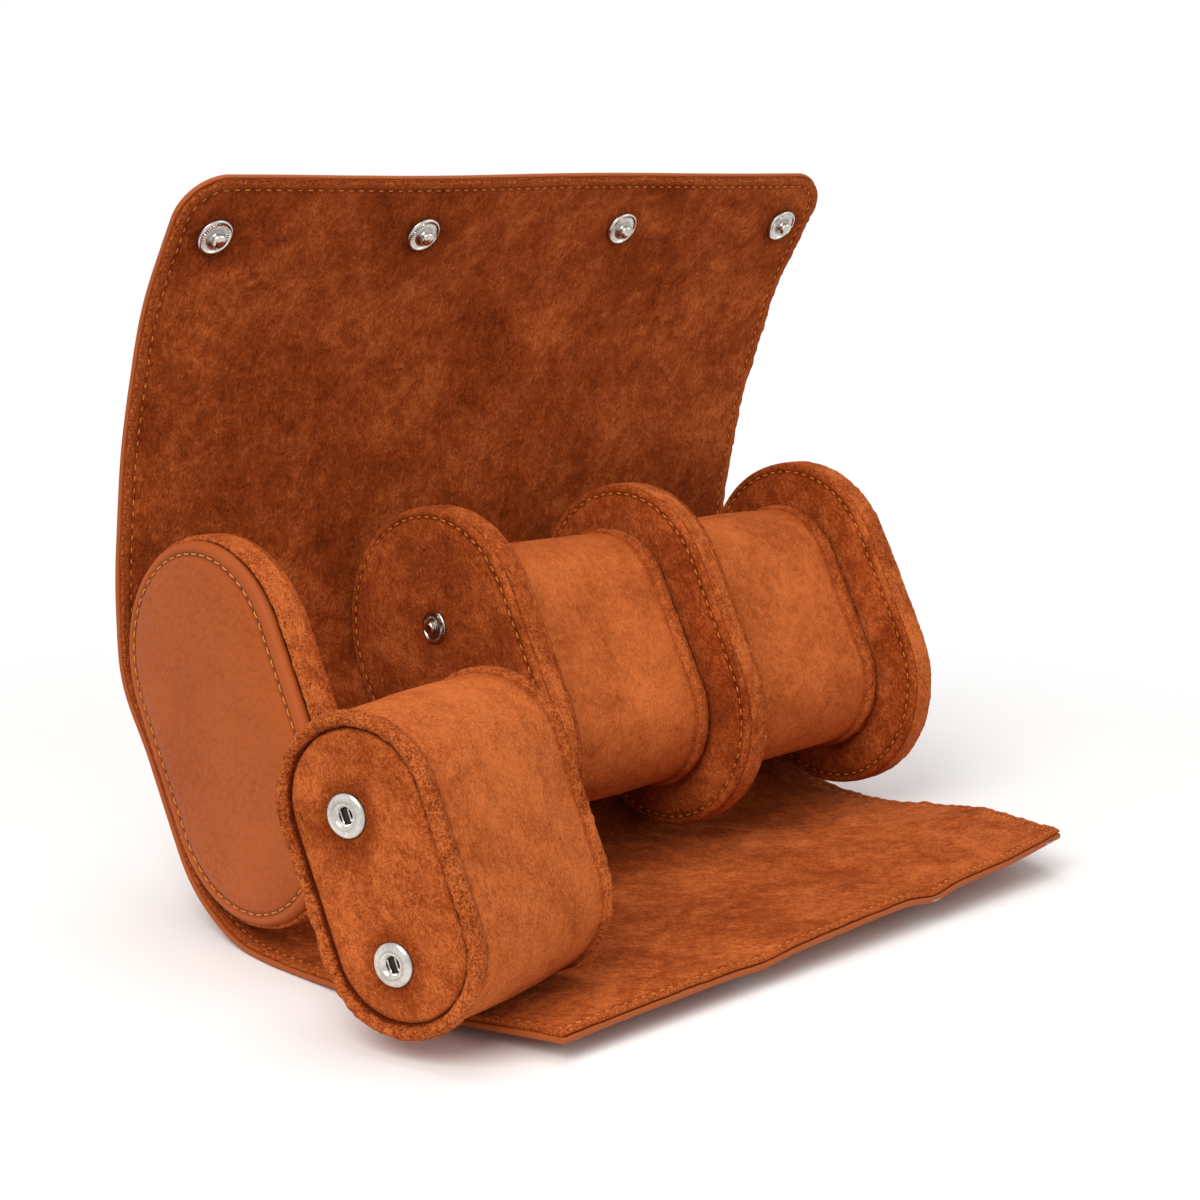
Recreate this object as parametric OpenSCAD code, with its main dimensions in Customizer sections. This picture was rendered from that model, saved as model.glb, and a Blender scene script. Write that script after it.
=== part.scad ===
// Travel case for three watches, open on a table.
// Four padded discs stand in a row and are sewn into a wrap-around cover of leather lined with suede.
// A removable cushion snaps to a disc in each bay; one of the three stands in front on the open flap.
// +X runs along the row of discs, +Y to the back and +Z up, in millimetres.
// The origin is the middle of the flat underside, on the table.

/* [Cover] */
// How far the cover reaches past the crown of each end disc
cover_reach = 0.8; // [0.4:0.1:4]
// Thickness of the outer leather
leather_t = 1.4; // [1.2:0.1:1.8]
// Thickness of the suede lining
lining_t = 1.2; // [1:0.1:1.6]
// Radius of the top corners of the rear flap
flap_corner_r = 12; // [6:1:16]
// How far each side of the front flap draws in towards its tip
tip_taper = 6.5; // [2:0.5:7]
// Height of the rear flap's edge above the lower end of the discs' straight front, when closed
edge_reach = 6.4; // [4:0.1:8]
// Height of the front flap's tip above the same point, when closed
tip_reach = 27.9; // [26:0.1:30]
// Rise of the open front flap from the table at its fold by the base
fold_rise = 1.5; // [0.6:0.1:2]
// Further rise of the front flap at its fold in the middle
tip_rise = 3; // [0.6:0.1:4]
// Length of the leather that lies flattened on the table behind the cover's lower bend
sag = 5.8; // [3:0.1:6.5]
// Forward bend at the rear flap's lower fold as it stands open
lower_bend = 11; // [4:0.5:20]
// Forward bend at the rear flap's middle fold as it stands open
middle_bend = 5; // [2:0.5:14]
// Forward bend at the rear flap's top fold as it stands open
top_bend = 9.5; // [4:0.5:20]

/* [Discs] */
// Length of a disc along its leaning axis
disc_l = 93; // [88:1:100]
// Width of a disc
disc_w = 62; // [60:1:66]
// Thickness of a disc at its crown
disc_t = 8.4; // [8:0.1:9]
// Backward lean of the discs from upright
disc_lean = 30; // [26:1:34]
// Thickness of the stiff board inside a disc
board_t = 1.6; // [1:0.1:2]
// Thickness of the suede band round a disc
rim_t = 6.4; // [5.6:0.1:6.8]
// Depth of the suede band, from the disc's edge inwards
rim_depth = 4.5; // [4:0.1:4.6]
// Distance of the sewn line from the disc's edge
disc_seam = 5.6; // [5.2:0.1:7]
// Depth of the sewn line below the crown
seam_depth = 0.9; // [0.5:0.1:1.1]

/* [Cushions] */
// Length of a cushion along the row
cushion_l = 55.2; // [52:0.1:55.2]
// Height of a cushion along its leaning axis
cushion_h = 70; // [64:1:74]
// Depth of a cushion from front to back
cushion_w = 40; // [36:1:42]
// Thickness of a cushion's suede sleeve
sleeve_t = 1.2; // [1:0.1:1.6]
// Thickness of a cushion's end panel
panel_t = 2.4; // [2.2:0.1:2.8]
// Width of the rolled rim round an end panel
rim_roll = 3.5; // [3:0.1:4]
// How far the sleeve draws in behind its rims
draw_in = 1.3; // [1:0.1:1.6]
// How far the sleeve swells again halfway along
sleeve_crown = 0.9; // [0.4:0.1:1]
// How far the loose cushion's near end stands out past the cover's left end
loose_out = 21.5; // [16:0.5:26]
// Distance of the loose cushion's near end in front of the disc row's centre line
loose_y = 78.5; // [76:0.5:84]
// Turn of the loose cushion away from the row
loose_turn = 14.7; // [8:0.1:18]
// Backward lean of the loose cushion from upright
loose_lean = 22.3; // [18:0.1:26]

/* [Snaps] */
// Radius of a stud's flange
stud_r = 4.6; // [4:0.1:5]
// Thickness of a stud's flange
stud_flange_t = 0.9; // [0.7:0.1:1.1]
// Height of a stud's ball above its flange
ball_h = 2.2; // [2:0.1:2.3]
// Radius of a stud's ball
ball_r = 1.8; // [1.6:0.05:1.9]
// Radius of a socket's ring
socket_r = 4.9; // [4.4:0.1:5.2]
// Thickness of a socket's ring
socket_ring_t = 0.9; // [0.7:0.1:1.1]
// Radius of the hole in a socket
socket_hole_r = 2.15; // [2.05:0.05:2.4]
// Radius of the rivet plate behind a stud or socket
rivet_r = 4; // [3.5:0.1:4.3]
// Thickness of a rivet plate
rivet_t = 0.5; // [0.4:0.05:0.6]
// Distance of the snaps from the rear flap's top edge
stud_edge = 15.6; // [14:0.1:16.5]
// Distance of the outer snaps from the cover's ends
stud_side = 11.8; // [11.5:0.1:14]
// Distance of a divider's two studs from its centre
divider_stud_v = 16; // [14:0.5:18]

/* [Clearances] */
// Gap between the discs' edges and the lining behind them
hug_gap = 0.3; // [0.2:0.05:0.5]
// Gap between the discs' lowest point and the lining
floor_gap = 3.5; // [2.5:0.1:4.5]
// Gap between the discs and each flap panel that wraps them
wrap_gap = 1.4; // [1.2:0.1:2]
// Gap between the discs and the front flap's tip, when closed
tip_gap = 2; // [1.6:0.1:2.6]
// Gap between a closed stud's flange and the socket's ring
snap_gap = 0.3; // [0.2:0.05:0.5]
// Gap between a cushion's plain end and the disc beside it, on top of the travel that frees its snaps
end_gap = 0.4; // [0.3:0.05:0.6]
// Half of the gap between two panels at a fold
fold_gap = 0.15; // [0.1:0.05:0.3]
// Gap round a piece that is let into another
fit_gap = 0.05; // [0.03:0.01:0.1]
// Gap between the loose cushion and the flap that it stands on
stand_gap = 0.3; // [0.2:0.05:0.5]

/* [Hidden] */
$fn = 96;
profile_steps = 6;
arc_step = 2.5;
cover_t = leather_t + lining_t;
disc_r = disc_w / 2;
disc_half = (disc_l - disc_w) / 2;
hug_r = disc_r + hug_gap;

// Points and directions in the side view are [y, z], seen from +X, about the middle of the discs.
function dir(angle) = [cos(angle), sin(angle)];
disc_axis = [sin(disc_lean), cos(disc_lean)];
front_normal = [-cos(disc_lean), sin(disc_lean)];
upper_centre = disc_half * disc_axis;
lower_centre = -disc_half * disc_axis;

// The cover's lower bend touches the slanted back and the table.
disc_drop = disc_half * cos(disc_lean) + disc_r + floor_gap;
bend_z = hug_r - disc_drop;
bend_centre = [bend_z * tan(disc_lean), bend_z];

// The closed front flap: two equal folds take it from the table to the discs' slanted front.
front_fold = (90 + disc_lean) / 2;
front_arm = disc_r + floor_gap;
front_start = (disc_r + wrap_gap + 0.4 - front_arm * cos(front_fold)) / sin(front_fold);
front_offset = disc_r + tip_gap;
hinge_len = (front_offset - front_start * cos(disc_lean) + front_arm * sin(disc_lean))
    / cos(front_fold - disc_lean);
front_hinge = lower_centre + [-front_start, -front_arm];
tip_hinge_closed = front_hinge + hinge_len * dir(180 - front_fold);
tip_len = tip_reach - (tip_hinge_closed - lower_centre) * disc_axis;

// The closed rear flap: three equal folds take it over the top and down to the snaps.
rear_fold = (180 - disc_lean) / 3;
snap_stack = socket_ring_t + snap_gap + stud_flange_t;
rear_offset = front_offset + cover_t + snap_stack;
rear_rise = (disc_r + wrap_gap - hug_r * cos(rear_fold)) / sin(rear_fold);
rear_hinge = upper_centre + [hug_r, rear_rise];
fold_dir_1 = dir(90 + rear_fold);
fold_dir_2 = dir(90 + 2 * rear_fold);
fold_dir_3 = dir(90 + 3 * rear_fold);
lower_len = (rear_offset - (rear_hinge - upper_centre) * front_normal)
    / ((fold_dir_1 + fold_dir_2) * front_normal);
middle_len = lower_len;
top_hinge_closed = rear_hinge + lower_len * fold_dir_1 + middle_len * fold_dir_2;
top_len = (top_hinge_closed - lower_centre) * disc_axis - edge_reach;

// The sockets sit on the front flap where the closed studs arrive.
stud_closed = top_hinge_closed + (top_len - stud_edge) * fold_dir_3;
socket_s = (stud_closed - tip_hinge_closed) * disc_axis;

// The rear flap as it stands open.
lower_angle = 90 + lower_bend;
middle_angle = lower_angle + middle_bend;
top_angle = middle_angle + top_bend;
middle_hinge = rear_hinge + lower_len * dir(lower_angle);
top_hinge = middle_hinge + middle_len * dir(middle_angle);

// The front flap as it lies open.
hinge_angle = 180 - fold_rise;
tip_angle = hinge_angle - tip_rise;
tip_hinge = front_hinge + hinge_len * dir(hinge_angle);

// Where the middle of the discs lies from the origin.
disc_z = disc_drop + cover_t;
disc_y = -(bend_centre[0] + sag + front_hinge[0]) / 2;

// The discs stand as far apart as a cushion and the travel that frees its snaps need.
snap_travel = ball_h + stud_flange_t - snap_stack + socket_ring_t + end_gap;
panel_sink = 0.4;
disc_pitch = disc_t + snap_travel + end_gap + cushion_l + snap_stack - panel_sink;
cover_w = 3 * disc_pitch + disc_t + 2 * cover_reach;
stud_x = cover_w / 2 - stud_side;
snap_places = [-stud_x, -disc_pitch / 2, disc_pitch / 2, stud_x];
disc_places = [-1.5 * disc_pitch, -disc_pitch / 2, disc_pitch / 2, 1.5 * disc_pitch];

board_r = disc_r - rim_depth;
seam_r = disc_r - disc_seam;
edge_r = disc_r - 0.8;
seam_z = disc_t / 2 - seam_depth;
roll_h = 0.7;
crown_run = 9;

cushion_half = (cushion_h - cushion_w) / 2;
cushion_r = cushion_w / 2;
core_r = cushion_r - draw_in - sleeve_t;
panel_r = cushion_r - rim_roll - fit_gap;
barrel_r = 2.9;
stem_r = 1.3;
cushion_start = disc_pitch - disc_t / 2 - snap_stack - cushion_l;
stand_s = loose_y + tip_hinge[0] + 1;
stand_z = hinge_len * sin(fold_rise) + stand_s * sin(fold_rise + tip_rise);
loose_z = cover_t + stand_z + stand_gap + cushion_half * cos(loose_lean) + cushion_r;

leather_colour = [0.68, 0.36, 0.18];
suede_colour = [0.66, 0.31, 0.12];
core_colour = [0.85, 0.83, 0.78];
board_colour = [0.45, 0.38, 0.3];
metal_colour = [0.8, 0.8, 0.78];

// ---- Places -------------------------------------------------------------------------------

// The side view's middle of the discs, as the frame's origin.
module at_discs() {
    translate([0, disc_y, disc_z]) children();
}

// A flat outline in the side view, drawn out along the row.
module along_row(w) {
    translate([-w / 2, 0, 0]) rotate([90, 0, 90]) linear_extrude(height = w) children();
}

// A disc's or cushion's own frame: X across, Y along its leaning axis, Z along the row.
module leaning(x, lean) {
    translate([x, 0, 0]) rotate([-lean, 0, 0]) rotate([90, 0, 90]) children();
}

// A flap panel's own frame: Z along the panel from its fold, Y square to it.
module panel_frame(hinge, angle) {
    at_discs() translate([0, hinge[0], hinge[1]]) rotate([angle - 90, 0, 0]) children();
}

// ---- Outlines and profiles ------------------------------------------------------------------

// Points along an arc about a centre.
function arc(centre, r, from, to) = let (n = round(abs(to - from) / arc_step))
    [for (i = [0:n]) centre + r * dir(from + (to - from) * i / n)];

// A slab in a panel's frame, on the outer side (+1) or the other (-1) of its fold line.
module slab(offset_t, t, side) {
    start = side > 0 ? offset_t + t : -offset_t;
    translate([0, start, 0]) rotate([90, 0, 0]) linear_extrude(height = t) children();
}

module plain_outline(len) {
    translate([-cover_w / 2, fold_gap]) square([cover_w, len - 2 * fold_gap]);
}

module top_outline() {
    straight = top_len - flap_corner_r;
    translate([-cover_w / 2, fold_gap]) square([cover_w, straight - fold_gap]);
    translate([flap_corner_r - cover_w / 2, straight - 1])
        square([cover_w - 2 * flap_corner_r, flap_corner_r + 1]);
    for (side = [-1, 1]) {
        translate([side * (cover_w / 2 - flap_corner_r), straight]) circle(flap_corner_r);
    }
}

module tip_outline() {
    polygon([[-cover_w / 2, fold_gap], [cover_w / 2, fold_gap],
        [cover_w / 2 - tip_taper, tip_len], [tip_taper - cover_w / 2, tip_len]]);
}

// A closed form with the outline of a disc or cushion: the profile [r, z] is turned round both
// ends and drawn straight between them.
module stadium(profile, half) {
    mirrored = [for (i = [len(profile) - 1:-1:0]) [-profile[i][0], profile[i][1]]];
    for (turn = [0, 180]) {
        rotate([0, 0, turn]) translate([0, half, 0]) rotate_extrude(angle = 180) polygon(profile);
    }
    rotate([90, 0, 0]) linear_extrude(height = 2 * half, center = true) {
        polygon(profile);
        polygon(mirrored);
    }
}

// ---- Cover --------------------------------------------------------------------------------------

// The line that the base of the cover follows at a distance outside its inner surface: down
// behind the discs, round under them and forward along the table. The outermost line lies flat
// on the table for some way behind the bend, where the leather is pressed flat.
function base_line(out, flat) = let (r = hug_r + out, lift = 2 * atan(flat / r))
    concat([upper_centre + [r, rear_rise - fold_gap]], arc(upper_centre, r, 0, -disc_lean),
        arc(bend_centre, r, -disc_lean, lift - 90), flat > 0 ? [bend_centre + [flat, -r]] : [],
        [[front_hinge[0] + fold_gap, bend_centre[1] - r]]);

module base_layer(from, to, flat) {
    inner = base_line(from, 0);
    outer = base_line(to, flat);
    at_discs() along_row(cover_w)
        polygon(concat(inner, [for (i = [len(outer) - 1:-1:0]) outer[i]]));
}

module rear_panel(hinge, angle, from, t, len) {
    panel_frame(hinge, angle) slab(from, t, 1) plain_outline(len);
}

module base_leather() {
    color(leather_colour) base_layer(lining_t, cover_t, sag);
}

module base_lining() {
    color(suede_colour) base_layer(0, lining_t, 0);
}

module rear_lower_leather() {
    color(leather_colour) rear_panel(rear_hinge, lower_angle, lining_t, leather_t, lower_len);
}

module rear_lower_lining() {
    color(suede_colour) rear_panel(rear_hinge, lower_angle, 0, lining_t, lower_len);
}

module rear_middle_leather() {
    color(leather_colour)
        rear_panel(middle_hinge, middle_angle, lining_t, leather_t, middle_len);
}

module rear_middle_lining() {
    color(suede_colour) rear_panel(middle_hinge, middle_angle, 0, lining_t, middle_len);
}

// The snaps' places on the rear flap, with +Z out of the lining.
module at_flap_studs() {
    panel_frame(top_hinge, top_angle) for (x = snap_places) {
        translate([x, 0, top_len - stud_edge]) rotate([90, 0, 0]) children();
    }
}

module rear_top_leather() {
    color(leather_colour) difference() {
        panel_frame(top_hinge, top_angle) slab(lining_t, leather_t, 1) top_outline();
        at_flap_studs() plate_pocket(lining_t, rivet_t);
    }
}

module rear_top_lining() {
    color(suede_colour) difference() {
        panel_frame(top_hinge, top_angle) slab(0, lining_t, 1) top_outline();
        at_flap_studs() through_hole(stem_r, lining_t);
    }
}

module front_hinge_leather() {
    color(leather_colour)
        panel_frame(front_hinge, hinge_angle)
            slab(lining_t, leather_t, -1) plain_outline(hinge_len);
}

module front_hinge_lining() {
    color(suede_colour)
        panel_frame(front_hinge, hinge_angle) slab(0, lining_t, -1) plain_outline(hinge_len);
}

// The sockets' places on the front flap, with +Z out of the leather.
module at_flap_sockets() {
    panel_frame(tip_hinge, tip_angle) for (x = snap_places) {
        translate([x, -cover_t, socket_s]) rotate([90, 0, 0]) children();
    }
}

module front_tip_leather() {
    color(leather_colour) difference() {
        panel_frame(tip_hinge, tip_angle) slab(lining_t, leather_t, -1) tip_outline();
        at_flap_sockets() through_hole(barrel_r, leather_t);
    }
}

module front_tip_lining() {
    color(suede_colour) difference() {
        panel_frame(tip_hinge, tip_angle) slab(0, lining_t, -1) tip_outline();
        at_flap_sockets() plate_pocket(leather_t, rivet_t);
    }
}

// ---- Snaps: each stands on a surface at z = 0, with +Z out of it ---------------------------------

module through_hole(r, depth) {
    translate([0, 0, -depth - 1]) cylinder(h = depth + 2, r = r + fit_gap);
}

module plate_pocket(depth, t) {
    translate([0, 0, -depth - t - fit_gap]) cylinder(h = t + 2 * fit_gap, r = rivet_r + fit_gap);
}

module rivet_plate(depth) {
    color(metal_colour) translate([0, 0, -depth - rivet_t]) cylinder(h = rivet_t, r = rivet_r);
}

// A flange with a ball on a neck, and a stem that goes down to its rivet plate.
module stud(stem) {
    neck_r = ball_r - 0.3;
    top = stud_flange_t + ball_h;
    color(metal_colour) rotate_extrude() polygon([[0, -stem], [stem_r, -stem], [stem_r, 0],
        [stud_r, 0], [stud_r, stud_flange_t / 2], [neck_r + 0.6, stud_flange_t],
        [neck_r, stud_flange_t + 0.5], [ball_r, top - 0.9], [ball_r - 0.3, top - 0.3],
        [ball_r - 0.9, top], [0, top]]);
}

// A ring round a hole, with a barrel that goes down to its rivet plate.
module socket(barrel) {
    bevel = socket_ring_t / 3;
    color(metal_colour) rotate_extrude() polygon([[socket_hole_r, -barrel], [barrel_r, -barrel],
        [barrel_r, 0], [socket_r, 0], [socket_r, socket_ring_t - bevel],
        [socket_r - bevel, socket_ring_t], [socket_hole_r + bevel, socket_ring_t],
        [socket_hole_r, socket_ring_t - bevel]]);
}

module flap_studs() {
    at_flap_studs() stud(lining_t);
}

module flap_stud_rivets() {
    at_flap_studs() rivet_plate(lining_t);
}

// The front flap's sockets stand on its leather side, so they are under it while it lies open.
module flap_sockets() {
    at_flap_sockets() socket(leather_t);
}

module flap_socket_rivets() {
    at_flap_sockets() rivet_plate(leather_t);
}

// ---- Discs: in a disc's frame z = 0 is its mid-plane ---------------------------------------------

module disc_board() {
    color(board_colour) stadium([[0, -board_t / 2], [board_r - fit_gap, -board_t / 2],
        [board_r - fit_gap, board_t / 2], [0, board_t / 2]], disc_half);
}

module disc_rim() {
    bulge = [for (i = [0:profile_steps]) let (a = 90 - 180 * i / profile_steps)
        [edge_r + (disc_r - edge_r) * cos(a), rim_t / 2 * sin(a)]];
    color(suede_colour) stadium(concat([[board_r, -rim_t / 2], [board_r, rim_t / 2]], bulge),
        disc_half);
}

// A padded face: crowned in the middle, drawn in at the sewn line and rolled over at its edge.
function face_profile() = concat(
    [[0, board_t / 2], [board_r, board_t / 2], [board_r, rim_t / 2]],
    [for (i = [0:profile_steps]) let (s = i / profile_steps)
        [edge_r + (seam_r - edge_r) * s,
            rim_t / 2 + (seam_z - rim_t / 2) * s + roll_h * sin(180 * s)]],
    [for (i = [1:profile_steps]) let (s = i / profile_steps)
        [seam_r - crown_run * s, seam_z + seam_depth * sin(90 * s)]],
    [[0, disc_t / 2]]);

module disc_face() {
    stadium(face_profile(), disc_half);
}

module in_disc(index) {
    at_discs() leaning(disc_places[index], disc_lean) children();
}

// A face on the left of its disc looks towards -X.
module left_face() {
    rotate([0, 180, 0]) disc_face();
}

// A divider's studs stand on its left face, with +Z out of it.
module at_divider_studs() {
    for (side = [-1, 1]) {
        translate([0, side * divider_stud_v, -disc_t / 2]) rotate([0, 180, 0]) children();
    }
}

module studded_left_face() {
    stem = (disc_t - board_t) / 2 - rivet_t;
    color(suede_colour) difference() {
        left_face();
        at_divider_studs() through_hole(stem_r, stem);
        at_divider_studs() plate_pocket(stem, rivet_t);
    }
}

module left_end_board() {
    in_disc(0) disc_board();
}

module left_end_rim() {
    in_disc(0) disc_rim();
}

module left_end_leather_face() {
    color(leather_colour) in_disc(0) left_face();
}

module left_end_suede_face() {
    color(suede_colour) in_disc(0) disc_face();
}

module first_divider_board() {
    in_disc(1) disc_board();
}

module first_divider_rim() {
    in_disc(1) disc_rim();
}

module first_divider_left_face() {
    in_disc(1) studded_left_face();
}

module first_divider_right_face() {
    color(suede_colour) in_disc(1) disc_face();
}

module second_divider_board() {
    in_disc(2) disc_board();
}

module second_divider_rim() {
    in_disc(2) disc_rim();
}

module second_divider_left_face() {
    in_disc(2) studded_left_face();
}

module second_divider_right_face() {
    color(suede_colour) in_disc(2) disc_face();
}

module right_end_board() {
    in_disc(3) disc_board();
}

module right_end_rim() {
    in_disc(3) disc_rim();
}

module right_end_suede_face() {
    in_disc(3) studded_left_face();
}

module right_end_leather_face() {
    color(leather_colour) in_disc(3) disc_face();
}

module divider_studs() {
    for (index = [1:3]) {
        in_disc(index) at_divider_studs() stud((disc_t - board_t) / 2 - rivet_t);
    }
}

module divider_stud_rivets() {
    for (index = [1:3]) {
        in_disc(index) at_divider_studs() rivet_plate((disc_t - board_t) / 2 - rivet_t);
    }
}

// ---- Cushions: in a cushion's frame z runs from its plain end to its socket end ------------------

module cushion_core() {
    color(core_colour) stadium([[0, panel_t], [core_r - fit_gap, panel_t],
        [core_r - fit_gap, cushion_l - panel_t], [0, cushion_l - panel_t]], cushion_half);
}

// The sleeve's outside: a rolled rim at each end and a slight swell between them.
function rim_arc() = [for (i = [0:profile_steps]) let (a = 180 - 180 * i / profile_steps)
    [cushion_r - rim_roll / 2 * (1 - cos(a)), rim_roll / 2 * (1 - sin(a))]];

function far_arc() = [for (i = [profile_steps:-1:0]) let (p = rim_arc()[i])
    [p[0], cushion_l - p[1]]];

function swell() = let (start = rim_roll + 1, run = cushion_l - 2 * start)
    [for (i = [0:profile_steps]) let (s = i / profile_steps)
        [cushion_r - draw_in + sleeve_crown * sin(180 * s), start + run * s]];

module cushion_sleeve() {
    color(suede_colour) stadium(concat(rim_arc(), swell(), far_arc(),
        [[cushion_r - rim_roll, cushion_l - panel_t], [core_r, cushion_l - panel_t],
            [core_r, panel_t], [cushion_r - rim_roll, panel_t]]), cushion_half);
}

// An end panel, crowned a little and drawn in at the seam round it. Its outside is at z = 0.
module end_panel() {
    edge_z = panel_sink + 0.8;
    crown = [for (i = [0:profile_steps]) let (s = i / profile_steps)
        [panel_r - 6 * s, edge_z + (panel_sink - edge_z) * sin(90 * s)]];
    stadium(concat([[0, panel_t], [panel_r, panel_t]], crown, [[0, panel_sink]]), cushion_half);
}

module cushion_plain_panel() {
    color(suede_colour) end_panel();
}

// The socket end's surface, with +Z out of it.
module at_cushion_sockets() {
    for (side = [-1, 1]) {
        translate([0, side * divider_stud_v, cushion_l - panel_sink]) children();
    }
}

module cushion_socket_panel() {
    barrel = panel_t - panel_sink - rivet_t;
    color(suede_colour) difference() {
        translate([0, 0, cushion_l]) mirror([0, 0, 1]) end_panel();
        at_cushion_sockets() through_hole(barrel_r, barrel);
        at_cushion_sockets() plate_pocket(barrel, rivet_t);
    }
}

module cushion_sockets() {
    at_cushion_sockets() socket(panel_t - panel_sink - rivet_t);
}

module cushion_socket_rivets() {
    at_cushion_sockets() rivet_plate(panel_t - panel_sink - rivet_t);
}

// A stored cushion hangs on the studs of the disc at its right.
module in_bay(index) {
    at_discs() leaning(disc_places[index] + cushion_start + panel_sink, disc_lean) children();
}

// The loose cushion stands on the open front flap with its socket end to the left.
module in_front() {
    translate([-cover_w / 2 - loose_out, disc_y - loose_y, loose_z]) rotate([0, 0, loose_turn])
        leaning(0, loose_lean) translate([0, 0, cushion_l]) rotate([0, 180, 0]) children();
}

module loose_core() {
    in_front() cushion_core();
}

module loose_sleeve() {
    in_front() cushion_sleeve();
}

module loose_plain_panel() {
    in_front() cushion_plain_panel();
}

module loose_socket_panel() {
    in_front() cushion_socket_panel();
}

module loose_sockets() {
    in_front() cushion_sockets();
}

module loose_socket_rivets() {
    in_front() cushion_socket_rivets();
}

module middle_core() {
    in_bay(1) cushion_core();
}

module middle_sleeve() {
    in_bay(1) cushion_sleeve();
}

module middle_plain_panel() {
    in_bay(1) cushion_plain_panel();
}

module middle_socket_panel() {
    in_bay(1) cushion_socket_panel();
}

module middle_sockets() {
    in_bay(1) cushion_sockets();
}

module middle_socket_rivets() {
    in_bay(1) cushion_socket_rivets();
}

module right_core() {
    in_bay(2) cushion_core();
}

module right_sleeve() {
    in_bay(2) cushion_sleeve();
}

module right_plain_panel() {
    in_bay(2) cushion_plain_panel();
}

module right_socket_panel() {
    in_bay(2) cushion_socket_panel();
}

module right_sockets() {
    in_bay(2) cushion_sockets();
}

module right_socket_rivets() {
    in_bay(2) cushion_socket_rivets();
}

base_leather();
base_lining();
rear_lower_leather();
rear_lower_lining();
rear_middle_leather();
rear_middle_lining();
rear_top_leather();
rear_top_lining();
front_hinge_leather();
front_hinge_lining();
front_tip_leather();
front_tip_lining();
flap_studs();
flap_stud_rivets();
flap_sockets();
flap_socket_rivets();
left_end_board();
left_end_rim();
left_end_leather_face();
left_end_suede_face();
first_divider_board();
first_divider_rim();
first_divider_left_face();
first_divider_right_face();
second_divider_board();
second_divider_rim();
second_divider_left_face();
second_divider_right_face();
right_end_board();
right_end_rim();
right_end_suede_face();
right_end_leather_face();
divider_studs();
divider_stud_rivets();
loose_core();
loose_sleeve();
loose_plain_panel();
loose_socket_panel();
loose_sockets();
loose_socket_rivets();
middle_core();
middle_sleeve();
middle_plain_panel();
middle_socket_panel();
middle_sockets();
middle_socket_rivets();
right_core();
right_sleeve();
right_plain_panel();
right_socket_panel();
right_sockets();
right_socket_rivets();
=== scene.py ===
"""Travel case for three watches, standing open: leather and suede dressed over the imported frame.

Shapes are worked out in millimetres in the frame's axes: +X along the row of discs, +Y to the
back and +Z up. A point [y, z] is in the side view.
"""

import itertools
import math

import bpy
import numpy as np
from mathutils import Matrix, Vector

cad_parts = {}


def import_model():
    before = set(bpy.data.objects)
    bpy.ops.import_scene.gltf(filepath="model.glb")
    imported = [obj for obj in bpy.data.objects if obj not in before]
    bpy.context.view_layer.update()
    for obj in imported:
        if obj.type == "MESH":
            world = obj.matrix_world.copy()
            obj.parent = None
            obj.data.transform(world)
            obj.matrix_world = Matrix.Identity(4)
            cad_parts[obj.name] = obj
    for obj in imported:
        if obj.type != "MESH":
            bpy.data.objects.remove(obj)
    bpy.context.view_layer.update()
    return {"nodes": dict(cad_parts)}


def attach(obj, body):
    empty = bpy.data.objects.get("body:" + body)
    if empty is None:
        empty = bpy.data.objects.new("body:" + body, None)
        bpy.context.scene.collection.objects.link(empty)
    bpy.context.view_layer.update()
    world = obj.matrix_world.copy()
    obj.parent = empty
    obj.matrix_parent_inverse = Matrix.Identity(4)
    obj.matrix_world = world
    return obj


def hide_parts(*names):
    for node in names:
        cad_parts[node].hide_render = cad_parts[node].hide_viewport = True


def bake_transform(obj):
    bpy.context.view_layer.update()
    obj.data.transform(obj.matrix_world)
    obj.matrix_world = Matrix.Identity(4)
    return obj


MM = 0.001
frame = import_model()

# ---- Sizes of the frame, in millimetres and degrees ----
# Discs: their middle in the side view, lean, half straight side, thickness and places.
DISC_Y, DISC_Z, LEAN = 14.7516, 50.5234, 30.0
DISC_HALF, DISC_T = 15.5, 8.4
DISC_X = (-102.0, -34.0, 34.0, 102.0)
# Cover: half width, layers, the front flap's two parts, the tip's taper, and its bends.
HALF_W = 107.0
LINING_T, LEATHER_T = 1.2, 1.4
COVER_T = LINING_T + LEATHER_T
TIP_LEN, HINGE_LEN, TAPER = 46.7216, 40.0681, 6.5
HUG_R, CORNER_R = 31.3, 12.0
# Cushions: half straight side, length, and a stored one's distance from its disc.
CUSHION_HALF, CUSHION_L, STORED = 15.0, 55.2, 6.9
# Snaps: places across the flaps, distances from their edges, and up and down a disc.
STUD_X = (-95.2, -34.0, 34.0, 95.2)
SOCKET_X = (-94.0, -34.0, 34.0, 94.0)
STUD_EDGE, SOCKET_IN, PLATE_V = 15.6, 6.0, 16.0
# The loose cushion: its near end's middle, turn and lean, and its sockets' shift.
LOOSE_AT = (-128.5, DISC_Y - 78.5, 38.905)
LOOSE_TURN, LOOSE_LEAN, LOOSE_LOW, LOOSE_SIDE = 14.7, 22.3, 2.3, -2.4

rad = math.radians


def smooth(x, a, b):
    """0 below a, 1 above b and an even curve between."""
    t = np.clip((np.asarray(x, float) - a) / (b - a), 0, 1)
    return t * t * (3 - 2 * t)


def unit(v):
    return v / np.linalg.norm(v)


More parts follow.
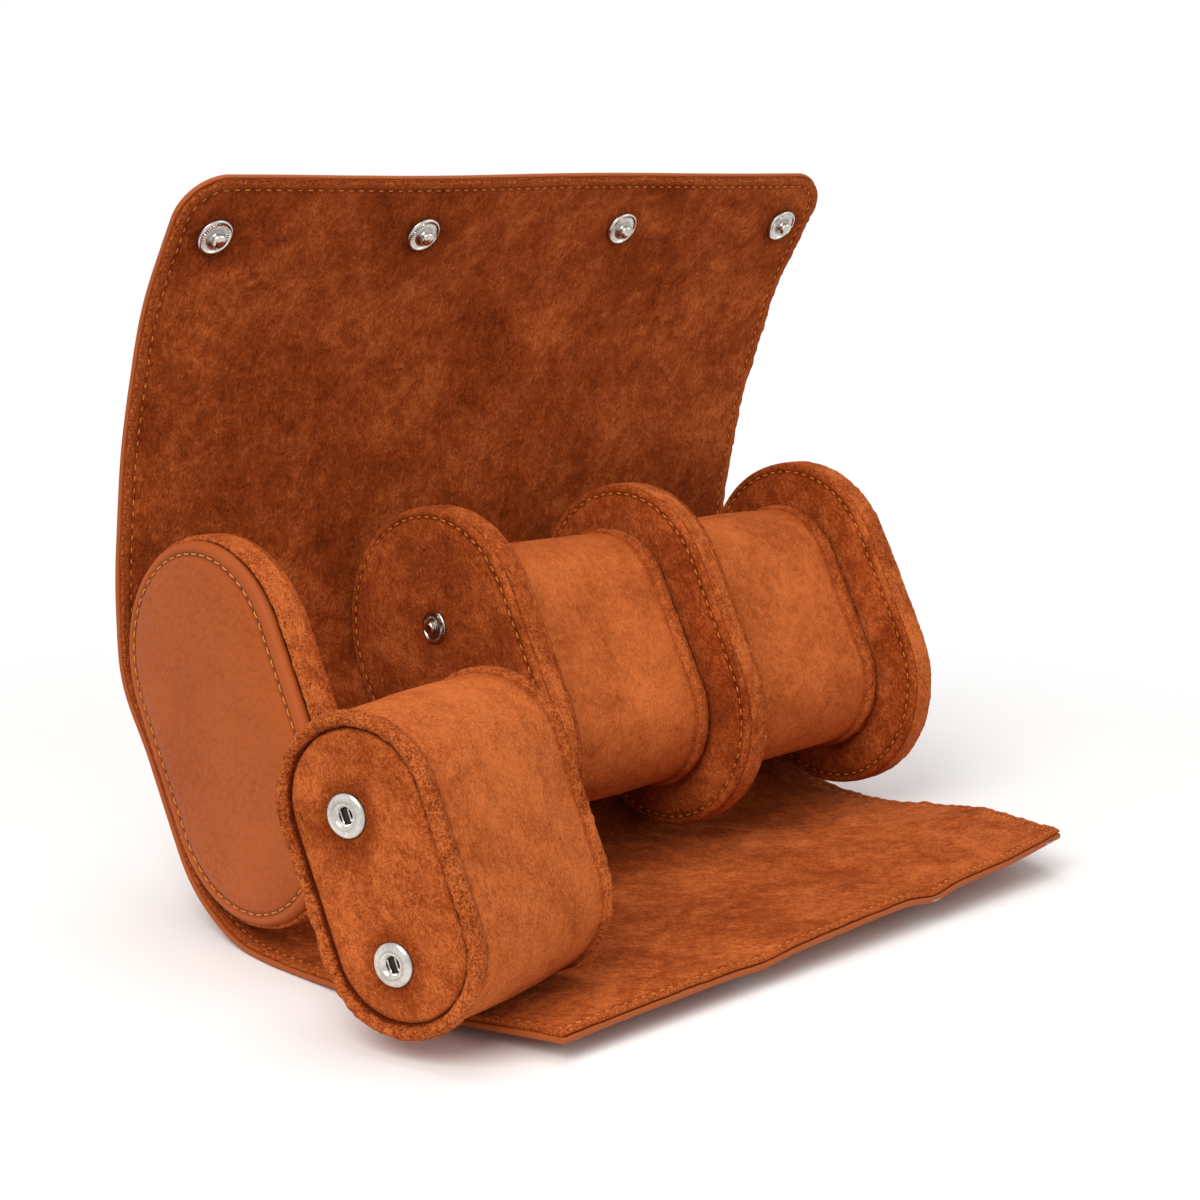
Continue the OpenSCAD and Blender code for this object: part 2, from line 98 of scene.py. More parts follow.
def lattice(ix, iy, iz, seed):
    """An even random value from -1 to 1 for each point of a lattice."""
    n = (ix * 73856093) ^ (iy * 19349663) ^ (iz * 83492791) ^ (seed * 2654435761)
    n = (n & 0xFFFFFFFF).astype(np.uint64)
    n = ((n ^ (n >> 15)) * 2246822519) & 0xFFFFFFFF
    n = ((n ^ (n >> 13)) * 3266489917) & 0xFFFFFFFF
    n = n ^ (n >> 16)
    return n.astype(float) / 2147483648.0 - 1.0


def noise(p, size, seed=0):
    """Soft noise from -1 to 1 at points p, with lumps of about that size."""
    q = np.asarray(p, float) / size + 1000.0
    i = np.floor(q).astype(np.int64)
    f = q - i
    f = f * f * (3 - 2 * f)
    out = np.zeros(len(q))
    for corner in itertools.product((0, 1), repeat=3):
        weight = np.prod(np.where(corner, f, 1 - f), axis=1)
        out += weight * lattice(*(i + corner).T, seed)
    return out


# ---- Materials ----
def linear(r, g, b):
    """A colour as a picture writes it, from 0 to 255, as light."""
    return tuple(c / 12.92 if c <= 0.04045 else ((c + 0.055) / 1.055) ** 2.4
                 for c in (r / 255, g / 255, b / 255)) + (1.0,)


class Nodes:
    """The nodes of a material or of the world, built one call each."""

    def __init__(self, name, kind="Material"):
        kinds = bpy.data.worlds if kind == "World" else bpy.data.materials
        self.owner = kinds.new(name)
        self.owner.use_nodes = True
        self.tree = self.owner.node_tree
        self.tree.nodes.clear()
        self.out = self.node("Output" + kind)

    def node(self, kind, inputs=(), **settings):
        n = self.tree.nodes.new("ShaderNode" + kind)
        for key, value in settings.items():
            setattr(n, key, value)
        for key, value in dict(inputs).items():
            self.put(n, key, value)
        return n

    def put(self, n, key, value):
        socket = n.inputs[key]
        if isinstance(value, bpy.types.NodeSocket):
            self.tree.links.new(value, socket)
        elif isinstance(value, bpy.types.Node):
            self.tree.links.new(value.outputs[0], socket)
        else:
            socket.default_value = value

    def math(self, operation, a, b=0.0, clamp=False):
        return self.node("Math", {0: a, 1: b}, operation=operation, use_clamp=clamp).outputs[0]

    def add(self, *terms):
        total = terms[0]
        for term in terms[1:]:
            total = self.math("ADD", total, term)
        return total

    def spread(self, value, amount, middle=0.5):
        """How far a value is from its middle, times an amount."""
        return self.math("MULTIPLY", self.math("SUBTRACT", value, middle), amount)

    def noise(self, vector, size, detail=2.0, rough=0.5, distortion=0.0):
        return self.node("TexNoise", {"Vector": vector, "Scale": 1.0 / size, "Detail": detail,
                                      "Roughness": rough, "Distortion": distortion}).outputs[0]

    def ramp(self, value, stops):
        n = self.node("ValToRGB", {0: value})
        ramp = n.color_ramp
        while len(ramp.elements) < len(stops):
            ramp.elements.new(0.5)
        for element, (place, colour) in zip(ramp.elements, stops):
            element.position, element.color = place, colour
        return n.outputs[0]

    def mix(self, factor, a, b, blend="MIX"):
        n = self.node("Mix", data_type="RGBA", blend_type=blend)
        self.put(n, 0, factor)
        self.put(n, 6, a)
        self.put(n, 7, b)
        return n.outputs[2]

    def millimetres(self, vector):
        return self.node("VectorMath", {0: vector, 1: (1 / MM,) * 3},
                         operation="MULTIPLY").outputs[0]

    def flat(self):
        """The point's place on its own piece."""
        return self.millimetres(
            self.node("Attribute", attribute_name="flat").outputs["Vector"])

    def place(self):
        """The point's place in the frame."""
        return self.millimetres(self.node("TexCoord").outputs["Object"])

    def look(self):
        """The piece's marks: tone, grain and edge. The tone carries painted shade and highlight
        too, and on nickel the edge slot carries painted shade.
        """
        attribute = self.node("Attribute", attribute_name="look")
        return self.node("SeparateXYZ", {0: attribute.outputs["Vector"]}).outputs

    def finish(self, **inputs):
        shader = self.node("BsdfPrincipled", inputs)
        self.put(self.out, "Surface", shader)
        return self.owner


def suede(name, dark, mid, light):
    m = Nodes(name)
    at = m.flat()
    tone, grain, edge = m.look()[:3]
    patches = m.noise(at, 30.0, 3.0, 0.55, 0.8)
    blotches = m.noise(at, 6.5, 3.0, 0.6, 0.9)
    brushed = m.node("Mapping", {"Vector": at, "Rotation": (0, 0, 0.6), "Scale": (1.0, 0.42, 1.0)})
    nap = m.noise(brushed.outputs[0], 0.8, 2.0, 0.6, 1.5)
    tufts = m.noise(at, 1.9, 3.0, 0.6, 1.4)
    specks = m.noise(at, 0.42, 2.0, 0.7)
    raw = m.add(m.spread(specks, 1.6), m.spread(m.noise(at, 0.85, 2.0, 0.6, 0.5), 1.3))
    mottle = m.add(m.spread(patches, 0.95), m.spread(blotches, 0.8), m.spread(nap, 0.95),
                   m.spread(tufts, 0.7), m.spread(specks, 0.6))
    value = m.add(0.5, m.math("MULTIPLY", mottle, grain), m.math("MULTIPLY", tone, 0.5),
                  m.math("MULTIPLY", raw, edge))
    colour = m.ramp(value, ((0.0, dark), (0.5, mid), (1.0, light)))
    height = m.add(m.math("MULTIPLY", nap, 0.8), m.math("MULTIPLY", specks, 0.5),
                   m.math("MULTIPLY", tufts, 0.9), m.math("MULTIPLY", raw, edge))
    bump = m.node("Bump", {"Height": height, "Strength": 0.7, "Distance": 0.0006})
    return m.finish(**{"Base Color": colour, "Roughness": 0.95, "Specular IOR Level": 0.05,
                       "Sheen Weight": 0.12, "Sheen Roughness": 0.5,
                       "Sheen Tint": linear(240, 130, 70), "Normal": bump})


def leather(name, dark, mid, light, cut):
    m = Nodes(name)
    at = m.flat()
    tone, grain, edge = m.look()[:3]
    warp = m.noise(at, 3.0, 2.0, 0.5)
    moved = m.node("VectorMath", {0: at, 1: warp}, operation="ADD").outputs[0]
    cells = m.node("TexVoronoi", {"Vector": moved, "Scale": 0.6,
                                  "Randomness": 1.0}).outputs["Distance"]
    relief = m.noise(at, 14.0, 2.0, 0.5)
    pebble = m.math("MULTIPLY", m.math("POWER", cells, 2.0), m.math("MULTIPLY", relief, grain))
    pebble = m.math("MULTIPLY", pebble, -3.0)
    fine = m.noise(at, 0.35, 3.0, 0.6)
    patches = m.noise(at, 30.0, 3.0, 0.5, 0.4)
    value = m.add(0.55, m.spread(patches, 0.45), m.spread(fine, 0.14),
                  m.math("MULTIPLY", pebble, 0.05), m.math("MULTIPLY", tone, 0.5))
    colour = m.ramp(value, ((0.0, dark), (0.5, mid), (1.0, light)))
    colour = m.mix(edge, colour, m.ramp(m.add(0.5, m.spread(fine, 0.8)),
                                        ((0.0, dark), (0.5, cut), (1.0, light))))
    height = m.add(pebble, m.math("MULTIPLY", fine, 0.18), m.math("MULTIPLY", patches, 1.2))
    bump = m.node("Bump", {"Height": height, "Strength": 0.5, "Distance": 0.0005})
    roughness = m.add(0.52, m.spread(fine, 0.2), m.math("MULTIPLY", pebble, -0.1))
    return m.finish(**{"Base Color": colour, "Roughness": roughness, "Specular IOR Level": 0.16,
                       "Normal": bump})


def thread():
    m = Nodes("gold_thread")
    at = m.flat()
    twist = m.node("TexWave", {"Vector": at, "Scale": 0.75, "Distortion": 0.4},
                   bands_direction="DIAGONAL").outputs["Fac"]
    colour = m.ramp(m.add(m.math("MULTIPLY", twist, 0.6), m.noise(at, 2.0)),
                    ((0.25, linear(140, 66, 8)), (0.6, linear(204, 110, 16)),
                     (1.0, linear(238, 150, 36))))
    bump = m.node("Bump", {"Height": twist, "Strength": 0.6, "Distance": 0.0001})
    return m.finish(**{"Base Color": colour, "Roughness": 0.5, "Specular IOR Level": 0.45,
                       "Sheen Weight": 0.15, "Normal": bump})


def nickel():
    m = Nodes("bright_nickel")
    at = m.place()
    wear = m.noise(at, 0.9, 4.0, 0.6, 0.3)
    cloud = m.noise(at, 3.4, 2.0, 0.5, 0.4)
    hollow_shade = m.look()[2]
    colour = m.ramp(m.add(m.math("MULTIPLY", wear, 0.5), m.math("MULTIPLY", cloud, 0.5)),
                    ((0.25, linear(168, 161, 153)), (0.6, linear(216, 211, 204))))
    # Painted shade: dark brown and rougher in the hollows that the snaps mark.
    colour = m.mix(hollow_shade, colour, linear(38, 30, 26))
    roughness = m.add(0.15, m.spread(wear, 0.14), m.math("MULTIPLY", hollow_shade, 0.35))
    bump = m.node("Bump", {"Height": m.add(wear, m.math("MULTIPLY", cloud, 2.0)),
                           "Strength": 0.1, "Distance": 0.0002})
    return m.finish(**{"Base Color": colour, "Metallic": 1.0, "Roughness": roughness,
                       "Normal": bump})


def dull(name, dark, light, size, roughness):
    """Fibre board and foam, which stay inside the pieces."""
    m = Nodes(name)
    at = m.place()
    cells = m.noise(at, size, 4.0, 0.7)
    bump = m.node("Bump", {"Height": cells, "Strength": 0.4, "Distance": 0.0002})
    return m.finish(**{"Base Color": m.ramp(cells, ((0.3, dark), (0.7, light))),
                       "Roughness": roughness, "Normal": bump})


SUEDE = suede("suede", linear(92, 31, 5), linear(150, 67, 26), linear(208, 111, 56))
LEATHER = leather("smooth_leather", linear(108, 46, 12), linear(156, 73, 27),
                  linear(190, 99, 45), linear(160, 80, 35))
THREAD = thread()
NICKEL = nickel()
BOARD = dull("fibre_board", linear(112, 98, 78), linear(146, 128, 102), 0.8, 0.9)
FOAM = dull("foam", linear(204, 200, 188), linear(232, 228, 218), 0.5, 0.95)

for node_name, node_object in frame["nodes"].items():
    node_material = (BOARD if node_name.endswith("_board") else
                     FOAM if node_name.endswith("_core") else
                     NICKEL if "stud" in node_name or "rivet" in node_name
                     or node_name.endswith("_sockets") else
                     LEATHER if "leather" in node_name else SUEDE)
    node_object.data.materials.clear()
    node_object.data.materials.append(node_material)


# ---- Meshes ----
def link(name, data):
    piece = bpy.data.objects.new(name, data)
    bpy.context.collection.objects.link(piece)
    return piece


def make(name, points, faces, material, flat=None, look=None, sharp=40, slot=None):
    """An object from points in millimetres, with its texture places and marks on the points."""
    mesh = bpy.data.meshes.new(name)
    mesh.from_pydata((np.asarray(points, float) * MM).tolist(), [], [list(f) for f in faces])
    mesh.update()
    flat = points if flat is None else flat
    look = np.zeros((len(points), 3)) if look is None else look
    for label, values in (("flat", np.asarray(flat, float) * MM), ("look", np.asarray(look))):
        attribute = mesh.attributes.new(label, "FLOAT_VECTOR", "POINT")
        attribute.data.foreach_set("vector", values.astype(np.float32).ravel())
    mesh.polygons.foreach_set("use_smooth", [True] * len(mesh.polygons))
    mesh.set_sharp_from_angle(angle=rad(sharp))
    mesh.materials.append(material)
    piece = link(name, mesh)
    return piece


def quads(rows, columns, start=0, closed=False, flip=False):
    """The faces of a grid of points. A closed one joins its last column to its first."""
    index = np.arange(rows * columns).reshape(rows, columns) + start
    right = np.roll(index, -1, axis=1)
    if not closed:
        index, right = index[:, :-1], right[:, :-1]
    found = np.stack([index[:-1], right[:-1], right[1:], index[1:]], axis=-1).reshape(-1, 4)
    return found[:, ::-1].tolist() if flip else found.tolist()


# ---- The cover's side view ----
# Places along the lining, from the fold at the base to each flap's edge.
S_TIP = -HINGE_LEN - TIP_LEN
S_BEND = 16.1081
S_STRAIGHT = S_BEND + HUG_R * rad(60)
S_UPPER = S_STRAIGHT + 34.689
S_RISE = S_UPPER + HUG_R * rad(30)
S_REAR = S_RISE + 16.0314
S_MIDDLE = S_REAR + 32.4362
S_TOP = S_MIDDLE + 32.4362
S_END = S_TOP + 38.9165
STEP = 0.25


def side_line(tip, inner, rise, lower, middle, top):
    """The cover's line as [y, z] and its direction, for the angles of its parts in degrees."""
    s = np.arange(S_TIP - 4, S_END + 4, STEP)
    angle = np.full(len(s), float(tip))
    for place, width, before, after in (
            (-HINGE_LEN, 12, tip, inner), (0, 10, inner, 0), (S_REAR, 12, rise, lower),
            (S_MIDDLE, 14, lower, middle), (S_TOP, 14, middle, top)):
        angle += (after - before) * smooth(s, place - width, place + width)
    for a, b, before, after in ((S_BEND, S_STRAIGHT, 0, 60), (S_UPPER, S_RISE, 60, rise)):
        turn = np.clip((s - a) / (b - a), 0, 1)
        width = int(6 / STEP)
        kernel = np.hanning(2 * width + 1)
        angle += (after - before) * np.convolve(np.pad(turn, width, mode="edge"),
                                                kernel / kernel.sum(), mode="valid")
    a = np.radians(angle)
    y, z = np.cumsum(np.cos(a)) * STEP, np.cumsum(np.sin(a)) * STEP
    y0, z0 = np.interp(8.0, s, y), np.interp(8.0, s, z)
    return s, y - y0 + DISC_Y - 25.7056 + 8.0, z - z0 + DISC_Z - 47.9234, a


LEFT = side_line(-4.0, -1.5, 86, 95, 104, 120)
RIGHT = side_line(-5.0, -10.0, 83, 102, 109, 120)
# How far the front edge is drawn in, how much more at the right, how far its right corner
# comes to the left, and how far the rear flap's edge is drawn in.
FRONT_PULL, RIGHT_PULL, SIDE_PULL, REAR_PULL = 5.4, 12.6, 10.0, 2.8


def cover_place(u, s, depth=0.0):
    """Points of the cover at u across and s along its lining, depth below the lining's surface."""
    u, s = np.asarray(u, float), np.asarray(s, float)
    share = (u + HALF_W) / (2 * HALF_W)
    reach = np.clip((-12 - s) / (-12 - S_TIP), 0, 1.2) ** 1.25
    s = s + (FRONT_PULL + RIGHT_PULL * share) * reach
    s = s - REAR_PULL * (1 - 0.4 * share) * np.clip((s - S_REAR) / (S_END - S_REAR), 0, 1.2)
    u = u - SIDE_PULL * smooth(u, 20, 110) * reach
    left = smooth(-u, 60, 107)
    u = u + 1.3 * left * smooth(s, 14, 34) * (1 - smooth(s, 72, 96))
    u = u - 1.5 * left * (1 - smooth(s, 4, 24)) * (1 - 0.8 * smooth(reach, 0.5, 1))
    front = smooth(-s, -4, 20)
    bend = share * (1 - front) + np.clip(share, 0, 1.1) ** 1.35 * front
    y, z, a = (np.interp(s, LEFT[0], LEFT[k]) * (1 - bend)
               + np.interp(s, RIGHT[0], RIGHT[k]) * bend for k in (1, 2, 3))
    flap = smooth(s, S_REAR - 6, S_REAR + 25) + smooth(-s, 8, 30)
    lift = flap * (0.35 * np.sin(u / 17 + 0.6) * np.sin(s / 13 + 1)
                   + 0.3 * np.sin(u / 31 + s / 23))
    lift = lift + 1.5 * smooth(u, 60, 108) * smooth(reach, 0.6, 1.1)
    lift = lift + 0.5 * np.exp(-((s + 18 - u * 0.05) / 2.2) ** 2) * smooth(u, -60, 40)
    pressed = 0.5 * np.exp(-((u + 34) / 7.5) ** 2) + np.exp(-((u - 34) / 7.5) ** 2)
    lift = lift - 1.4 * pressed * smooth(-s, 20, 40)
    lift = lift - depth
    return np.stack([u, y - np.sin(a) * lift, z + np.cos(a) * lift], axis=-1)


def half_width(s):
    s = np.asarray(s, float)
    width = HALF_W - TAPER * np.clip((-s - HINGE_LEN) / TIP_LEN, 0, 1)
    over = np.clip(s - (S_END - CORNER_R), 0, CORNER_R)
    return width - CORNER_R + np.sqrt(CORNER_R ** 2 - over ** 2)


def edge_distance(u, s):
    """How far a point of the cover is from its nearest edge."""
    side = HALF_W - TAPER * np.clip((-s - HINGE_LEN) / TIP_LEN, 0, 1) - np.abs(u)
    plain = np.minimum(np.minimum(side, S_END - s), s - S_TIP)
    du, ds = np.abs(u) - (HALF_W - CORNER_R), s - (S_END - CORNER_R)
    return np.where((du > 0) & (ds > 0), CORNER_R - np.hypot(du, ds), plain)


# Rows of points in from a free edge, the seam's distance from it, and the rows between.
EDGE_STEPS = (0, 0.12, 0.3, 0.6, 1.0, 1.5, 2.1, 2.6, 2.9, 3.1, 3.3, 3.6, 4.1, 4.9, 6.1, 7.8)
SEAM_IN, ROW, EDGE_ROLL = 3.1, 1.15, 0.45


def stations(low, high, free_low, free_high):
    """Places along the cover, closer together near a free edge."""
    ends = [low + d for d in EDGE_STEPS] if free_low else [low]
    tops = [high - d for d in EDGE_STEPS[::-1]] if free_high else [high]
    inner = np.linspace(ends[-1], tops[0], int((tops[0] - ends[-1]) / ROW) + 2)[1:-1]
    return np.array(ends + list(inner) + tops)


def cover_layer(name, low, high, layer, material, slot):
    """One strip of the lining (0) or of the leather (1), as a closed slab with soft edges."""
    s_rows = stations(low, high, low <= S_TIP, high >= S_END)
    across = np.linspace(-1, 1, 84)[1:-1]
    inset = 0.4 if layer == 0 else 0.0
    rows = []
    for s in s_rows:
        w = float(half_width(s)) - inset
        inner = w - EDGE_STEPS[-1]
        rows.append(np.concatenate([[-w + d for d in EDGE_STEPS], across * inner,
                                    [w - d for d in EDGE_STEPS[::-1]]]))
    u = np.array(rows)
    s = np.repeat(s_rows[:, None], u.shape[1], axis=1)
    distance = edge_distance(u, s) - inset
    flat_u, flat_s = u.ravel(), s.ravel()
    d = np.clip(distance.ravel(), 0, None)
    here = np.stack([flat_u, flat_s, np.zeros_like(flat_u)], axis=-1)
    if layer == 0:
        ragged = 0.22 * noise(here, 1.5, 3) + 0.3 * noise(here, 6.0, 4)
        pull = np.exp(-(d / 0.9) ** 2)
        beside = half_width(flat_s) - np.abs(flat_u) < 3
        flat_u = flat_u - np.sign(flat_u) * ragged * pull * beside
        if low <= S_TIP:
            flat_s = flat_s + (0.35 + ragged) * pull * (flat_s - S_TIP < 3)
        if high >= S_END:
            flat_s = flat_s - (0.35 + ragged) * pull * (S_END - flat_s < 3)
    over = np.clip(EDGE_ROLL - d, 0, EDGE_ROLL)
    roll = EDGE_ROLL - np.sqrt(np.clip(EDGE_ROLL ** 2 - over ** 2, 0, None))
    seam = 0.3 * np.exp(-((d + inset - SEAM_IN) / 0.5) ** 2)
    if layer == 0:
        fuzz = 0.10 * noise(here, 0.9, 7) + 0.10 * noise(here, 2.2, 8)
        frayed = np.exp(-(d / 2.0) ** 2)
        top = roll + seam + fuzz * (0.25 + 1.5 * frayed) * (d > 0.05)
        bottom = np.full_like(top, LINING_T) - roll
    else:
        top = LINING_T + roll
        bottom = np.full_like(top, COVER_T) - roll - 0.7 * seam
        bottom += 0.03 * noise(here, 3.0, 9)
    n_rows, n_cols = u.shape
    upper = cover_place(flat_u, flat_s, top)
    lower = cover_place(flat_u, flat_s, bottom)
    count = n_rows * n_cols
    faces = quads(n_rows, n_cols) + quads(n_rows, n_cols, count, flip=True)
    index = np.arange(count).reshape(n_rows, n_cols)
    border = (list(index[0, :]) + list(index[1:, -1]) + list(index[-1, -2::-1])
              + list(index[-2:0:-1, 0]))
    for a, b in zip(border, border[1:] + border[:1]):
        faces.append([int(b), int(a), int(a) + count, int(b) + count])
    flat = np.concatenate([np.stack([flat_u, flat_s, 0 * top + layer * 40], -1),
                           np.stack([flat_u, flat_s, bottom + layer * 40], -1)])
    near = np.exp(-(d / 1.6) ** 2)
    # Painted light in the tone: a painted highlight along the welt between the edge and the seam,
    # and painted shade in the seam's groove.
    tone = 0.10 * near + 0.22 * np.exp(-((d - 1.2) / 0.9) ** 2) - 0.4 * np.exp(
        -((d + inset - SEAM_IN) / 0.6) ** 2)
    tone = tone + 0.08 * flat_u / HALF_W + 0.22 * smooth(-flat_s, -20, 10)
    if layer == 0:
        # Painted shade: a darker ring on the lining round the foot of each stud.
        for x in STUD_X:
            ring = np.hypot(flat_u - x, flat_s - (S_END - STUD_EDGE))
            tone = tone - 0.5 * np.exp(-((ring - 4.5) / 2.2) ** 2)
    else:
        tone = tone * 0.4
    rim = (d < 0.2).astype(float)
    look = np.concatenate([np.stack([tone, 1 - near, rim if layer else near], -1),
                           np.stack([tone, 1 - near, rim], -1)])
    return make(name, np.concatenate([upper, lower]), faces, material, flat, look, 50, slot)


# ---- Stitches ----
STITCH_LEN, STITCH_PITCH, THREAD_R = 2.1, 2.95, 0.18
# How deep the cover's stitches lie below the lining's surface, on either side.
THREAD_DEPTHS = ((0.38, 1.0), (COVER_T - 0.15, -1.0))


def spaced(points, pitch):
    """Where each stitch along a line of points starts, is halfway and ends."""
    steps = np.linalg.norm(np.diff(points, axis=0), axis=1)
    run = np.concatenate([[0], np.cumsum(steps)])
    count = max(1, int(round(run[-1] / pitch)))
    pitch = run[-1] / count
    pairs = []
    for k in range(count):
        a = (k + 0.5) * pitch - STITCH_LEN / 2
        pairs.append(np.array([[np.interp(place, run, column) for column in points.T]
                               for place in (a, a + STITCH_LEN / 2, a + STITCH_LEN)]))
    return pairs


def stitch_mesh(name, stitches):
    """Stitches as short soft bars. Each is three points and the way out of the surface."""
    points, faces, flats = [], [], []
    stations_t = (0.0, 0.08, 0.25, 0.5, 0.75, 0.92, 1.0)
    widths = (0.45, 0.8, 1.0, 1.05, 1.0, 0.8, 0.45)
    heights = (-0.34, -0.12, 0.04, 0.09, 0.04, -0.12, -0.34)
    sides = 7
    for number, (line, out) in enumerate(stitches):
        start, middle, end = line
        along = unit(end - start)
        out = unit(out - along * (out @ along))
        across = np.cross(along, out)
        slant = 0.10 * math.sin(number * 2.4)
        base = len(points)
        for t, width, height in zip(stations_t, widths, heights):
            bend = 4 * t * (1 - t)
            chord = start * (1 - t) + end * t
            centre = chord + (middle - (start + end) / 2) * bend
            centre = centre + out * height + across * slant * (t - 0.5)
            for k in range(sides):
                turn = 2 * math.pi * k / sides
                ring = across * math.cos(turn) + out * math.sin(turn) * 0.85
                points.append(centre + ring * THREAD_R * width)
                flats.append((t * STITCH_LEN * 1.6 + number * 0.7, turn * 0.5, number * 0.37))
        faces += quads(len(stations_t), sides, base, closed=True, flip=True)
        faces.append([base + k for k in range(sides)])
        top = base + (len(stations_t) - 1) * sides
        faces.append([top + sides - 1 - k for k in range(sides)])
    return make(name, np.array(points), faces, THREAD, np.array(flats), None, 60, "suede")


def cover_seam():
    """The sewn line round the cover as (u, s)."""
    s = np.linspace(S_TIP + SEAM_IN, S_END - CORNER_R, 900)
    side = np.stack([half_width(s) - SEAM_IN, s], -1)
    turn = np.radians(np.linspace(0, 90, 40))[1:]
    r = CORNER_R - SEAM_IN
    corner = np.stack([HALF_W - CORNER_R + r * np.cos(turn),
                       S_END - CORNER_R + r * np.sin(turn)], -1)
    right = np.concatenate([side, corner])
    left = right[::-1] * (-1, 1)
    top = np.array([[HALF_W - CORNER_R, S_END - SEAM_IN], [CORNER_R - HALF_W, S_END - SEAM_IN]])
    front_half = float(half_width(S_TIP)) - SEAM_IN
    front = np.array([[front_half, S_TIP + SEAM_IN]])
    return np.concatenate([right, top[1:], left, front])


# Each strip of the cover: from, to, the two bodies that it joins, and where it turns.
STRIPS = (
    ("front_tip", S_TIP, -HINGE_LEN / 2, ("front_flap_inner", "front_flap_tip"),
     -HINGE_LEN + 10, -HINGE_LEN - 10),
    ("front_inner", -HINGE_LEN / 2, 12.0, ("case_base", "front_flap_inner"), 8.0, -10.0),
    ("base", 12.0, S_REAR - 12.5, None, 0, 0),
    ("rear_lower", S_REAR - 12.5, (S_REAR + S_MIDDLE) / 2, ("case_base", "rear_flap_lower"),
     S_REAR - 11, S_REAR + 11),
    ("rear_middle", (S_REAR + S_MIDDLE) / 2, (S_MIDDLE + S_TOP) / 2,
     ("rear_flap_lower", "rear_flap_middle"), S_MIDDLE - 13, S_MIDDLE + 13),
    ("rear_top", (S_MIDDLE + S_TOP) / 2, S_END, ("rear_flap_middle", "rear_flap_top"),
     S_TOP - 13, S_TOP + 13),
)


def carry(piece, bodies, start, end):
    """Rides on the case's base when its strip joins no bodies; otherwise its place is only baked
    into its points.
    """
    if bodies is None:
        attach(piece, "case_base")
        return
    a, b = (tuple(cover_place(0.0, s, COVER_T / 2) * MM) for s in (start, end))
    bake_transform(piece)


SEAM = spaced(cover_seam(), STITCH_PITCH)
# Every disc but the first shows a row of stitches in the lining beside its left face.
JOIN_IN = 5.2
JOINS = [line for x in DISC_X[1:] for line in spaced(np.stack(
    [np.full(400, x - JOIN_IN), np.linspace(S_BEND + 3, S_UPPER + 6, 400)], -1), STITCH_PITCH)]
for strip, low, high, bodies, start, end in STRIPS:
    lining = cover_layer("cover_" + strip + "_lining", low, high, 0, SUEDE, "suede")
    skin = cover_layer("cover_" + strip + "_leather", low, high, 1, LEATHER, "smooth_leather")
    rows = []
    for number, line in enumerate(SEAM + JOINS):
        if not low <= line[1][1] < high:
            continue
        for depth, side in THREAD_DEPTHS[:2 if number < len(SEAM) else 1]:
            place = cover_place(line[:, 0], line[:, 1], depth)
            out = cover_place(line[1, 0], line[1, 1], depth - 1.0) - place[1]
            rows.append((place, out * side))
    thread_piece = stitch_mesh("cover_" + strip + "_stitches", rows)
    for piece, cad in ((lining, "_lining"), (skin, "_leather")):
        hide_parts(strip.replace("inner", "hinge") + cad)
    for piece in (lining, skin, thread_piece):
        carry(piece, bodies, start, end)


# ---- Rounded pieces: discs and cushions ----
ARC_POINTS, SIDE_POINTS = 44, 14


def ring_ways(half, arc=ARC_POINTS, side=SIDE_POINTS):
    """Round a stadium: the centre each point is measured from and its way outwards."""
    turn = np.radians(np.linspace(0, 180, arc, endpoint=False))
    up = [((0, half), (math.cos(t), math.sin(t))) for t in turn]
    left = [((0, half - 2 * half * k / side), (-1, 0)) for k in range(side)]
    down = [((0, -half), (-math.cos(t), -math.sin(t))) for t in turn]
    right = [((0, -half + 2 * half * k / side), (1, 0)) for k in range(side)]
    every = up + left + down + right
    return np.array([c for c, _ in every], float), np.array([w for _, w in every], float)


def leaning_frame(origin, lean, turn=0.0, flip=None):
    """Moves points from a disc's or cushion's own frame to the case's."""
    c, s = math.cos(rad(lean)), math.sin(rad(lean))
    axes = np.array([[0, c, -s], [0, s, c], [1, 0, 0]])
    ct, st = math.cos(rad(turn)), math.sin(rad(turn))
    spin = np.array([[ct, st, 0], [-st, ct, 0], [0, 0, 1]])

    def turn_only(p):
        p = np.asarray(p, float)
        if flip is not None:
            p = p * (-1, 1, -1)
        return (p @ axes) @ spin

    def move(p):
        return turn_only(np.asarray(p, float) - (0, 0, flip or 0)) + np.asarray(origin)

    return move, turn_only


def finer(profile, step):
    """More points along a profile, on a smooth curve through its points."""
    p = np.array(profile, float)
    run = np.concatenate([[0], np.cumsum(np.linalg.norm(np.diff(p, axis=0), axis=1))])
    many = np.linspace(0, run[-1], max(len(p), int(run[-1] / step) + 1))
    out = np.stack([np.interp(many, run, p[:, k]) for k in range(2)], -1)
    for _ in range(3):
        out[1:-1] = 0.25 * out[:-2] + 0.5 * out[1:-1] + 0.25 * out[2:]
    return out


def lathe(half, profile, closed_end=True, arc=ARC_POINTS, side=SIDE_POINTS):
    """Points and faces of a stadium with a profile [r, z] from its edge to its middle."""
    centres, ways = ring_ways(half, arc, side)
    count = len(ways)
    points = np.concatenate([np.concatenate([centres + ways * r, np.full((count, 1), z)], axis=1)
                             for r, z in profile])
    faces = quads(len(profile), count, closed=True)
    if closed_end:
        # The last ring has no width, so its two straight sides are sewn together.
        last = (len(profile) - 1) * count
        for k in range(side):
            a, c = arc + k, count - k
            faces.append([last + v % count for v in (a, a + 1, c - 1, c)])
    return points, faces


def weld(points, faces, *others):
    """Joins points that lie on one another and drops faces that vanish."""
    key = np.round(points * 2000).astype(np.int64)
    _, first, back = np.unique(key, axis=0, return_index=True, return_inverse=True)
    back = back.ravel()
    kept = []
    for face in faces:
        loop = []
        for v in face:
            w = int(back[v])
            if w not in loop:
                loop.append(w)
        if len(loop) > 2:
            kept.append(loop)
    return [points[first], kept] + [o[first] for o in others]


